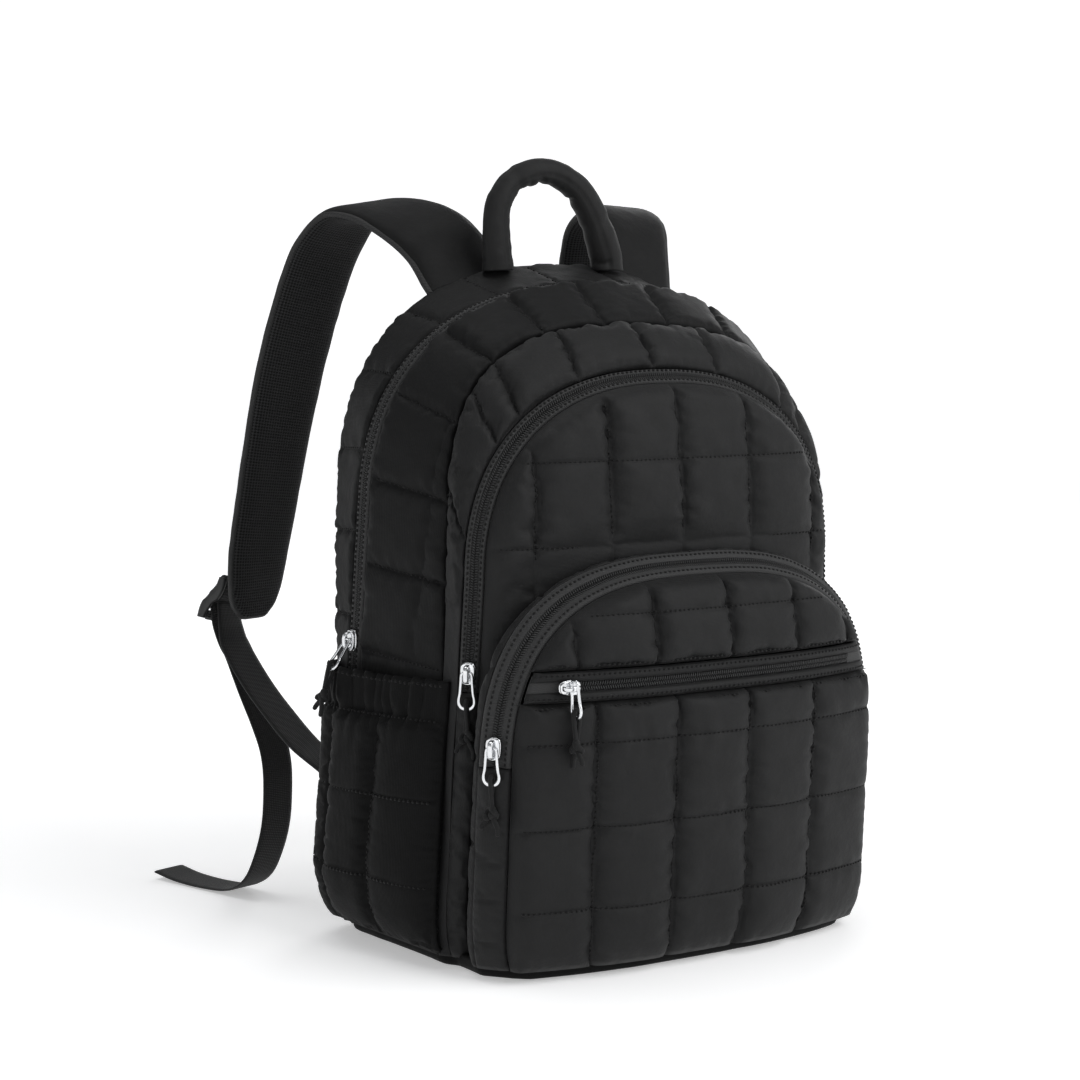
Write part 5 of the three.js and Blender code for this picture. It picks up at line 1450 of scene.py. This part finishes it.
class BACKPACK_OT_straps(bpy.types.Operator):
    """Padded shoulder straps and the carry handle"""

    bl_idname = "backpack.straps"
    bl_label = "Straps and handle"

    def execute(self, context):
        for word, rows, front in (("left", LEFT_STRAP, 1), ("right", RIGHT_STRAP, -1)):
            self.strap(word, rows, front)
        self.handle()
        return {"FINISHED"}

    def strap(self, word, rows, front):
        """front is 1 where the cloth side is on the side of the strap's own face."""
        st = stations(rows, 170, STRAP["width"], STRAP["thick"])
        seed = 91 if word == "left" else 95

        def creases(pts, c, run):
            side = pts - c
            r = np.linalg.norm(side, axis=-1, keepdims=True) + 1e-9
            across = np.arange(pts.shape[1])[None, :] * 1.3 + 0 * r[..., 0]
            along = np.broadcast_to(run[:, None], r[..., 0].shape)
            h = value_noise(np.stack([along, across], -1) * (1, 0.35), 7, seed) * 0.3
            h = h + value_noise(np.stack([along, across], -1), 24, seed + 1) * 0.6
            return side / r * h[..., None] * np.clip(r / 3, 0, 1)

        # The cloth half takes the darker side copy of the nylon: painted shade
        halves = ((front, "cloth", "side", 0.62), (-front, "mesh", "mesh", 0.5))
        for side, kind, fin, high in halves:
            sec = [(a, side * b) for a, b in lens(0.1, high)]
            inner = st.copy()
            inner[:, 6] -= 3.4
            obj, _ = sweep(f"strap_{word}_{kind}", inner, sec, finish(fin),
                           twist=creases if kind == "cloth" else None)
            settle(obj, "nylon" if kind == "cloth" else "air_mesh", f"strap_{word}")
        self.binding(word, st)

    def binding(self, word, st):
        """Folded tape along both edges, with its row of stitches."""
        c, w0 = st[:, :3], st[:, 3:6]
        t = np.gradient(c, axis=0)
        t /= np.linalg.norm(t, axis=1, keepdims=True)
        w = w0 - t * (w0 * t).sum(1, keepdims=True)
        w /= np.linalg.norm(w, axis=1, keepdims=True)
        face = np.cross(t, w)
        half = (st[:, 6:7] - 5.2) / 2
        left, right = c - w * half, c + w * half
        tip = np.linspace(-1, 1, 15)[1:-1, None]
        cap = c[-1] + w[-1] * half[-1] * tip
        loop = np.concatenate([left, cap, right[::-1]])
        out = np.concatenate([-w, np.repeat(t[-1:], len(cap), 0), w[::-1]])
        nor = np.concatenate([face, np.repeat(face[-1:], len(cap), 0), face[::-1]])
        run = arc_run(loop)
        count = int(run[-1] / 2.6)
        goal = np.linspace(0, run[-1], count)
        pick = lambda arr: np.stack([np.interp(goal, run, arr[:, k]) for k in range(3)], 1)
        line, out, nor = pick(loop), pick(out), pick(nor)
        for _ in range(3):
            out[1:-1] = (out[:-2] + 2 * out[1:-1] + out[2:]) / 4
        out /= np.linalg.norm(out, axis=1, keepdims=True)
        wave = value_noise(np.stack([goal, 0 * goal], -1), 8, 97)[:, None] * 0.25
        sec = [(-3.2, 1.75), (-1.0, 1.95), (1.2, 1.75), (2.3, 1.2), (2.6, 0), (2.3, -1.2), (1.2, -1.75),
               (-1.0, -1.95), (-3.2, -1.75)]
        pts = np.stack([line + out * (a + wave) + nor * b for a, b in sec], 1)
        n, m = count, len(sec)
        idx = np.arange(n * m).reshape(n, m)
        nxt = np.roll(idx, -1, axis=1)
        quads = np.stack([idx[:-1], idx[1:], nxt[1:], nxt[:-1]], -1).reshape(-1, 4)
        faces = quads.tolist() + [idx[0].tolist(), idx[-1].tolist()[::-1]]
        across, along = np.arange(m) * 2.2, goal[:, None]
        uv = np.stack([np.broadcast_to(across, (n, m)), np.broadcast_to(along, (n, m))], -1).reshape(-1, 2)
        obj = soft(f"strap_{word}_binding", pts.reshape(-1, 3), faces, finish("binding"), uv=uv)
        settle(obj, "nylon", f"strap_{word}")
        paths = [(line + out * -1.6 + nor * 1.9, nor), (line + out * -1.6 - nor * 1.9, -nor)]
        sew(f"strap_{word}_stitches", paths)

    def handle(self):
        rows = [(x, HANDLE["y"], z + 1.2, size, size) for x, z, size in HANDLE_LINE]
        rows[0] = (rows[0][0], HANDLE["y"], rows[0][2] - 3, 1.05, 1.05)
        rows[-1] = (rows[-1][0], HANDLE["y"], rows[-1][2] - 3, 1.1, 1.1)
        p = smooth_path(rows, 150)
        t = np.gradient(p[:, :3], axis=0)
        w = np.stack([-t[:, 2], 0 * t[:, 0], t[:, 0]], 1)
        st = np.concatenate([p[:, :3], w, p[:, 3:4] * HANDLE["width"], p[:, 4:5] * HANDLE["thick"]], 1)
        bend = np.degrees(np.unwrap(np.arctan2(t[:, 2], t[:, 0])))
        kink = np.abs(np.gradient(bend, arc_run(p[:, :3])))

        def wrinkles(pts, c, run):
            side = pts - c
            r = np.linalg.norm(side, axis=-1, keepdims=True) + 1e-9
            outwards = (side * w[:, None] / np.linalg.norm(w, axis=1)[:, None, None]).sum(-1)
            ang = np.arctan2(side[..., 1], outwards)
            along = np.broadcast_to(run[:, None], ang.shape)
            p2 = np.stack([along, np.cos(ang) * 9, np.sin(ang) * 9], -1)
            ridge = value_noise(p2 * (1, 0.35, 0.35), 6.5, 101)
            inner = np.clip(-np.cos(ang), 0, 1)
            h = -np.clip(ridge, 0, 1) * (0.8 + 2.6 * inner * np.clip(kink / 2.0, 0, 1)[:, None])
            h = h + value_noise(p2, 15, 103) * 0.9 + value_noise(p2 * (1, 0.6, 0.6), 4.2, 105) * 0.3
            seam = np.exp(-(((ang + 1.9 + math.pi) % (2 * math.pi) - math.pi) / 0.1) ** 2)
            return side / r * (h - seam * 0.9)[..., None]

        obj, _ = sweep("carry_handle_cloth", st, round_section(40), finish("nylon"), twist=wrinkles)
        settle(obj, "nylon", "carry_handle")


def band(name, rows, count, node):
    """A run of webbing, with its path in millimetres."""
    st = stations(rows, count, WEB["width"], WEB["thick"])

    def ripple(pts, c, run):
        side = pts - c
        h = value_noise(np.stack([run, 0 * run], -1), 16, len(name))[:, None, None] * 0.15
        return side * 0 + np.array([0, 1, 0]) * h

    obj, c = sweep(name, st, flat_section(), finish("webbing"), twist=ripple)
    settle(obj, "webbing", node)
    return obj, c


class BACKPACK_OT_webbing(bpy.types.Operator):
    """Webbing runs, their free tails and the ladder locks"""

    bl_idname = "backpack.webbing"
    bl_label = "Webbing and locks"

    def execute(self, context):
        band("lower_webbing_left_run", LEFT_WEB, 90, "lower_webbing_left")
        band("lower_webbing_right_run", RIGHT_WEB, 90, "lower_webbing_right")
        band("lock_tab_left_run", LEFT_TAB, 24, "lock_tab_left")
        band("lock_tab_right_run", RIGHT_TAB, 24, "lock_tab_right")
        for word, rows in (("left", LEFT_TAIL), ("right", RIGHT_TAIL)):
            obj, path = band(f"webbing_tail_{word}_run", rows, 150, f"webbing_tail_{word}")
        self.lock("left", (-164.4, 212.6, 193.9), (0.42, -0.27, 0.87), (0.39, -0.8, -0.44))
        self.lock("right", (107, 192, 196), (-0.1, -0.3, 0.95), (-0.14, -0.94, -0.3))
        return {"FINISHED"}

    def lock(self, word, centre, up, out):
        to = local(centre, up, out)
        parts = []
        for side in (-1, 1):
            turns = np.linspace(0, 1, 33)
            path = [(side * 15.6, 15 - 30 * t, 0.6 + 1.5 * math.sin(2 * math.pi * t)) for t in turns]
            deep = 5.4 + 2.8 * np.sin(np.pi * turns) ** 2 - 1.7 * np.exp(-((turns - 0.56) / 0.09) ** 4)
            parts.append(rod(path, 4.4, list(deep)))
        bars = ((12.3, 5.6, 4.2, 0), (1.8, 5.8, 4.2, 0.2), (-12.0, 6.0, 3.8, 0.4))
        for y, tall, thick, lift in bars:
            path = [(-15.6 + 31.2 * t, y, lift) for t in np.linspace(0, 1, 9)]
            parts.append(rod(path, tall, thick))
        for k in range(4):
            path = [(-13 + 26 * t, -10.0 - 1.5 * k, 2.3 + 0.1 * k) for t in np.linspace(0, 1, 7)]
            parts.append(rod(path, 0.9, 1.1))
        obj = merged(f"ladder_lock_{word}_body", parts, to, finish("lock"))
        settle(obj, "lock_plastic", f"ladder_lock_{word}")
        across = [(-12.5 + 25 * t, 0, 0) for t in np.linspace(0, 1, 9)]
        for y, wide, node in ((12.3, 8.8, f"lock_tab_{word}"), (3.0, 11.2, f"lower_webbing_{word}")):
            fold = rod([(x, y, 0.2) for x, _, _ in across], wide, 7.4, sides=16)
            obj = merged(f"{node}_fold", [fold], to, finish("webbing"))
            uv = obj.data.uv_layers.new(name="UVMap")
            for loop in obj.data.loops:
                k = loop.vertex_index
                uv.data[loop.index].uv = (across[k // 16][0] + 12.5, (k % 16) * 1.6)
            settle(obj, "webbing", node)


def local(origin, up, out):
    """A function from a piece's own frame to the bag's."""
    z = np.array(out, float)
    z /= np.linalg.norm(z)
    y = np.array(up, float)
    y -= z * y.dot(z)
    y /= np.linalg.norm(y)
    x = np.cross(y, z)
    axes = np.stack([x, y, z])
    return lambda p: np.asarray(p, float) @ axes + np.array(origin, float)


def rod(path, wide, thick, sides=10, closed=False, face=(0, 0, 1)):
    """Points and faces of a rounded rod along a path in its own frame."""
    c = np.asarray(path, float)
    n = len(c)
    if closed:
        t = np.roll(c, -1, 0) - np.roll(c, 1, 0)
    else:
        t = np.gradient(c, axis=0)
    t /= np.linalg.norm(t, axis=1, keepdims=True) + 1e-12
    f = np.array(face, float) - t * (t @ np.array(face, float))[:, None]
    f /= np.linalg.norm(f, axis=1, keepdims=True) + 1e-12
    w = np.cross(f, t)
    wide = np.broadcast_to(np.asarray(wide, float), (n,))[:, None]
    thick = np.broadcast_to(np.asarray(thick, float), (n,))[:, None]
    pts = []
    for k in range(sides):
        a = 2 * math.pi * k / sides
        ca, sa = math.cos(a), math.sin(a)
        ca, sa = np.sign(ca) * abs(ca) ** 0.7, np.sign(sa) * abs(sa) ** 0.7
        pts.append(c + w * wide / 2 * ca + f * thick / 2 * sa)
    pts = np.stack(pts, 1)
    idx = np.arange(n * sides).reshape(n, sides)
    nxt = np.roll(idx, -1, axis=1)
    if closed:
        a, b = idx, np.roll(idx, -1, axis=0)
        c2, d = np.roll(nxt, -1, axis=0), nxt
    else:
        a, b, c2, d = idx[:-1], idx[1:], nxt[1:], nxt[:-1]
    faces = np.stack([a, b, c2, d], -1).reshape(-1, 4).tolist()
    if not closed:
        faces += [idx[0].tolist(), idx[-1].tolist()[::-1]]
    return pts.reshape(-1, 3), faces


def plate(outline, low, high, bevel):
    """Points and faces of a flat plate with rounded edges."""
    o = np.asarray(outline, float)
    centre = o.mean(0)
    r = np.linalg.norm(o - centre, axis=1, keepdims=True)
    rings = []
    for inset, z in ((bevel, low), (0, low + bevel), (0, high - bevel), (bevel * 0.3, high - bevel * 0.3),
                     (bevel, high)):
        p = centre + (o - centre) * (1 - inset / r)
        rings.append(np.concatenate([p, np.full((len(p), 1), z)], 1))
    n = len(o)
    points = np.concatenate(rings)
    faces = []
    for k in range(len(rings) - 1):
        for i in range(n):
            j = (i + 1) % n
            faces.append((k * n + i, k * n + j, (k + 1) * n + j, (k + 1) * n + i))
    last = (len(rings) - 1) * n
    faces.append(list(range(n))[::-1])
    faces.append([last + i for i in range(n)])
    return points, faces


def merged(name, parts, to, material):
    """One object from several bodies given in a piece's own frame."""
    points, faces, base = [], [], 0
    for p, f in parts:
        points.append(to(p))
        faces.extend([[base + i for i in face] for face in f])
        base += len(p)
    return soft(name, np.concatenate(points), faces, material)


SLIDER = {"wide": 8.5, "tall": 13.0, "plate": 3.2, "window": 3.0, "bridge": 3.0, "seat": 1.1}
PULLER = {"wide": 8.4, "tall": 22.0, "bar": 2.2}


def pull_sets():
    """Where each slider sits, its zip's direction, outwards, and the way its puller hangs."""
    def between(a, b, z):
        place = np.array([-(a.half(z) + b.half(z)) / 2, (a.plane(z) + b.plane(z)) / 2, z])
        out = np.array([-(a.plane(z) - b.plane(z)), b.half(z) - a.half(z), 0])
        return place, out / np.linalg.norm(out)

    main = POCKET["hem"] + 16
    middle, middle_out = between(MIDDLE_OUT, MIDDLE_IN, 176)
    lower, lower_out = between(LOWER_OUT, LOWER_IN, 138)
    front = np.array([-100, lower_back(-100, 172.7) - TAPE - 1.1, 172.7])
    up = (0, 0, 1)
    return {
        "main": ((-ZIP.half(main), ZIP.plane(main), main), up, (-1, 0, 0), (-0.58, 0, -0.815), False),
        "middle": (middle, up, middle_out, (0, 0, -1), False),
        "lower": (lower, up, lower_out, (0, 0, -1), False),
        "front": (front, (1, 0, 0), (-0.12, -1, 0), (0, -0.12, -0.993), True),
    }


class BACKPACK_OT_pulls(bpy.types.Operator):
    """Sliders, pullers and knotted cords of the four zips"""

    bl_idname = "backpack.pulls"
    bl_label = "Zip pulls"

    def execute(self, context):
        for name, (place, along, out, hang, level) in pull_sets().items():
            self.pull(name, *(np.array(v, float) for v in (place, along, out, hang)), level)
        return {"FINISHED"}

    def pull(self, name, at, along, out, hang, level):
        out /= np.linalg.norm(out)
        seat = at + out * SLIDER["seat"]
        obj = merged(f"{name}_slider_body", self.slider(), local(seat, along, out), finish("metal"))
        settle(obj, "metal_pull", f"{name}_slider")
        sideways = along if level else out
        face = sideways - hang * sideways.dot(hang) / hang.dot(hang)
        face /= np.linalg.norm(face)
        lift = SLIDER["plate"] + (PULLER["wide"] / 2 + 0.25 if level else SLIDER["window"] / 2)
        hook = seat + out * lift
        if level:
            hook[2] += SLIDER["bridge"] / 2 + PULLER["bar"]
        length = sizes().puller / MM
        obj = merged(f"{name}_puller_loop", [self.stirrup(length)], local(hook, -hang, face), finish("metal"))
        settle(obj, "metal_pull", f"{name}_puller")
        end = hook + hang * (length - 2 * PULLER["bar"] + 1)
        upright = np.array([face[0], face[1], 0])
        upright /= np.linalg.norm(upright)
        obj = merged(f"{name}_cord_knot", self.cord(sum(map(ord, name))),
                     local(end, (0, 0, 1), face * 0.55 + upright * 0.45), finish("cord"))
        settle(obj, "pull_cord", f"{name}_cord")

    def slider(self):
        outline = []
        w, t = SLIDER["wide"] / 2, SLIDER["tall"] / 2
        for a in np.linspace(0, 2 * math.pi, 40, endpoint=False):
            ca, sa = math.cos(a), math.sin(a)
            x = w * np.sign(ca) * abs(ca) ** 0.6
            y = t * np.sign(sa) * abs(sa) ** 0.7
            outline.append((x * (1 + 0.1 * y / t), y))
        high = SLIDER["plate"] + SLIDER["window"] + 0.8
        arch = [(0, 5.0, 1.2), (0, 4.9, 2.6), (0, 4.6, high - 2.2), (0, 3.9, high - 0.8), (0, 2.4, high),
                (0, 0, high + 0.25), (0, -2.4, high), (0, -3.9, high - 0.8), (0, -4.6, high - 2.2),
                (0, -4.9, 2.6), (0, -5.0, 1.2)]
        path = smooth_path(arch, 40)
        return [plate(outline, 0, SLIDER["plate"] * 0.42, 0.5),
                plate(np.array(outline) * 0.97, SLIDER["plate"] * 0.5, SLIDER["plate"], 0.5),
                plate(np.array(outline) * (0.45, 0.6), 0.3, SLIDER["plate"] - 0.3, 0.1),
                rod(path, 1.6, SLIDER["bridge"], face=(1, 0, 0))]

    def stirrup(self, tall):
        top, low = PULLER["bar"] / 2 - 0.1, PULLER["bar"] / 2 - tall + 1.0
        half = [(0, top), (2.0, top - 0.2), (3.0, top - 1.6), (3.3, top - 5), (3.9, low + 9),
                (4.6, low + 5.2), (4.4, low + 2.6), (3.0, low + 0.7), (1.2, low + 0.05)]
        loop = half + [(0, low)] + [(-x, y) for x, y in half[:0:-1]]
        pts = np.array([(x, y, 0) for x, y in loop], float)
        closed = np.vstack([pts, pts[:1]])
        path = smooth_path(closed, 73)[:-1]
        wide = 1.7 + 0.5 * np.clip((top - 14 - path[:, 1]) / 6, 0, 1)
        return rod(path, wide, 1.7, sides=12, closed=True)

    def cord(self, seed):
        """Two strands from the puller to an overhand knot, and its two tails."""
        r = 1.2
        sway = (seed % 7 - 3) * 0.25
        turns = []
        loop = smooth_path([(0, 1.6, 2.0), (0.3, -3.0, 2.0), (0.8, -9.5, 1.5), (0.8, -15, 0.8)], 40)
        turns.append(rod(loop, 2 * r, 2 * r, face=(1, 0, 0)))
        loop = smooth_path([(0, 1.6, -2.0), (-0.3, -3.0, -2.0), (-0.8, -9.5, -1.5), (-0.8, -15, -0.8)], 40)
        turns.append(rod(loop, 2 * r, 2 * r, face=(1, 0, 0)))
        top = smooth_path([(0, 1.2, 2.2), (0, 3.0, 1.2), (0, 3.4, 0), (0, 3.0, -1.2), (0, 1.2, -2.2)], 24)
        turns.append(rod(top, 2 * r, 2 * r, face=(1, 0, 0)))
        knot = []
        for a in np.linspace(0, 2 * math.pi, 90, endpoint=False):
            knot.append((2.15 * math.sin(a) + 1.1 * math.sin(2 * a + 0.4), -18 + 2.3 * math.cos(2 * a) * 0.8
                         + 1.2 * math.cos(a), 2.2 * math.sin(3 * a) * 0.75))
        turns.append(rod(knot, 2.9 * r, 2.9 * r, closed=True, face=(0.2, 0.1, 1)))
        for side in (-1, 1):
            tail = [(side * 0.6, -18, 0.4 * side), (side * 2.6 + sway, -21.5, 0.8 * side),
                    (side * 4.6 + sway, -25 - side, 0.6 * side), (side * 5.2 + 2 * sway, -29 - 1.5 * side, 0)]
            path = smooth_path(tail, 22)
            size = np.full(22, 2.7)
            size[-3:] = (2.6, 2.3, 1.5)
            turns.append(rod(path, size, size, face=(0.1, 0, 1)))
        return turns


class BACKPACK_OT_studio(bpy.types.Operator):
    """Floor, soft lights and the camera"""

    bl_idname = "backpack.studio"
    bl_label = "Studio"

    def execute(self, context):
        scene = context.scene
        self.sweep_paper()
        look = context.scene.backpack_studio
        self.light("key_light", (1.3, -2.1, 2.4), (0, 0, 0.2), 2.8, look.key)
        self.light("fill_light", (-2.4, -1.2, 1.2), (0, 0, 0.25), 2.2, look.fill)
        self.light("top_light", (-0.3, 0.5, 2.6), (0, 0, 0.2), 1.8, look.top)
        self.light("rim_light", (1.8, 1.6, 1.3), (0, 0, 0.25), 1.2, look.rim)
        world = bpy.data.worlds.new("studio_air")
        world.use_nodes = True
        world.node_tree.nodes["Background"].inputs[0].default_value = (0.9, 0.92, 0.95, 1)
        world.node_tree.nodes["Background"].inputs[1].default_value = look.air
        scene.world = world
        scene.view_settings.view_transform = "Standard"
        scene.view_settings.exposure = look.exposure
        self.camera(scene)
        return {"FINISHED"}

    def sweep_paper(self):
        """Round floor whose far rim curves up."""
        r = np.concatenate([[0, 400, 1000, 1700, 2400], np.linspace(3000, 7500, 16)])
        z = 2600 * np.clip((r - 2400) / 5100, 0, 1) ** 2
        turns = 72
        pts, faces = [], []
        for a in np.linspace(0, 2 * math.pi, turns, endpoint=False):
            for b, c in zip(r[1:], z[1:]):
                pts.append((b * math.cos(a), b * math.sin(a), c))
        m = len(r) - 1
        pts.append((0, 0, 0))
        for i in range(turns):
            k = (i + 1) % turns
            faces.append((len(pts) - 1, i * m, k * m))
            for j in range(m - 1):
                faces.append((i * m + j, i * m + j + 1, k * m + j + 1, k * m + j))
        obj = soft("paper_sweep", pts, faces, finish("paper"))

    def light(self, name, at, to, size, watts):
        data = bpy.data.lights.new(name, "AREA")
        data.shape, data.size, data.energy = "DISK", size, watts
        obj = bpy.data.objects.new(name, data)
        bpy.context.scene.collection.objects.link(obj)
        obj.location = at
        obj.rotation_euler = (Vector(to) - Vector(at)).to_track_quat("-Z", "Y").to_euler()

    def camera(self, scene):
        data = bpy.data.cameras.new("camera")
        data.sensor_width, data.lens = 36.0, 79.0
        obj = bpy.data.objects.new("camera", data)
        right, up = Vector((0.8416, -0.5401, 0)), Vector((0.0528, 0.0823, 0.9952))
        back = right.cross(up)
        obj.matrix_world = (Matrix.Translation((-0.82835, -1.20855, 0.38641))
                            @ Matrix((right, up, back)).transposed().to_4x4())
        scene.collection.objects.link(obj)
        scene.camera = obj


class BackpackStudio(bpy.types.PropertyGroup):
    """Strength of the studio lights"""

    key: bpy.props.FloatProperty(name="Key", description="Power of the light at upper right",
                                 default=66, min=0, max=2000, unit="POWER")
    fill: bpy.props.FloatProperty(name="Fill", description="Power of the light on the left",
                                  default=4, min=0, max=2000, unit="POWER")
    top: bpy.props.FloatProperty(name="Top", description="Power of the light overhead",
                                 default=16, min=0, max=2000, unit="POWER")
    rim: bpy.props.FloatProperty(name="Rim", description="Power of the light behind",
                                 default=12, min=0, max=2000, unit="POWER")
    air: bpy.props.FloatProperty(name="Air", description="Brightness of the surroundings",
                                 default=0.24, min=0, max=5)
    exposure: bpy.props.FloatProperty(name="Exposure", description="Exposure of the picture in stops",
                                      default=0.0, min=-5, max=5)


class BACKPACK_PT_panel(bpy.types.Panel):
    """Sizes and finishes, and one button for each part of the bag"""

    bl_idname = "BACKPACK_PT_panel"
    bl_label = "Quilted Backpack"
    bl_space_type = "VIEW_3D"
    bl_region_type = "UI"
    bl_category = "Backpack"

    def draw(self, context):
        scene = context.scene
        for group in (scene.backpack_finish, scene.backpack_sizes, scene.backpack_studio):
            box = self.layout.box()
            for key in group.bl_rna.properties.keys():
                if key not in {"rna_type", "name"}:
                    box.prop(group, key)
        for cls in STEPS:
            self.layout.operator(cls.bl_idname)


STEPS = (BACKPACK_OT_walls, BACKPACK_OT_panels, BACKPACK_OT_zips, BACKPACK_OT_pockets, BACKPACK_OT_base,
         BACKPACK_OT_straps, BACKPACK_OT_webbing, BACKPACK_OT_pulls, BACKPACK_OT_studio)
GROUPS = {"backpack_finish": BackpackFinish, "backpack_sizes": BackpackSizes,
          "backpack_studio": BackpackStudio}


def register():
    for cls in (*GROUPS.values(), *STEPS, BACKPACK_PT_panel):
        bpy.utils.register_class(cls)
    for name, cls in GROUPS.items():
        setattr(bpy.types.Scene, name, bpy.props.PointerProperty(type=cls))


def unregister():
    for name in GROUPS:
        delattr(bpy.types.Scene, name)
    for cls in reversed((*GROUPS.values(), *STEPS, BACKPACK_PT_panel)):
        bpy.utils.unregister_class(cls)


def main():
    register()
    bpy.ops.backpack.walls()
    bpy.ops.backpack.panels()
    bpy.ops.backpack.zips()
    bpy.ops.backpack.pockets()
    bpy.ops.backpack.base()
    bpy.ops.backpack.straps()
    bpy.ops.backpack.webbing()
    bpy.ops.backpack.pulls()
    bpy.ops.backpack.studio()
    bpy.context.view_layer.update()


if __name__ == "__main__":
    main()
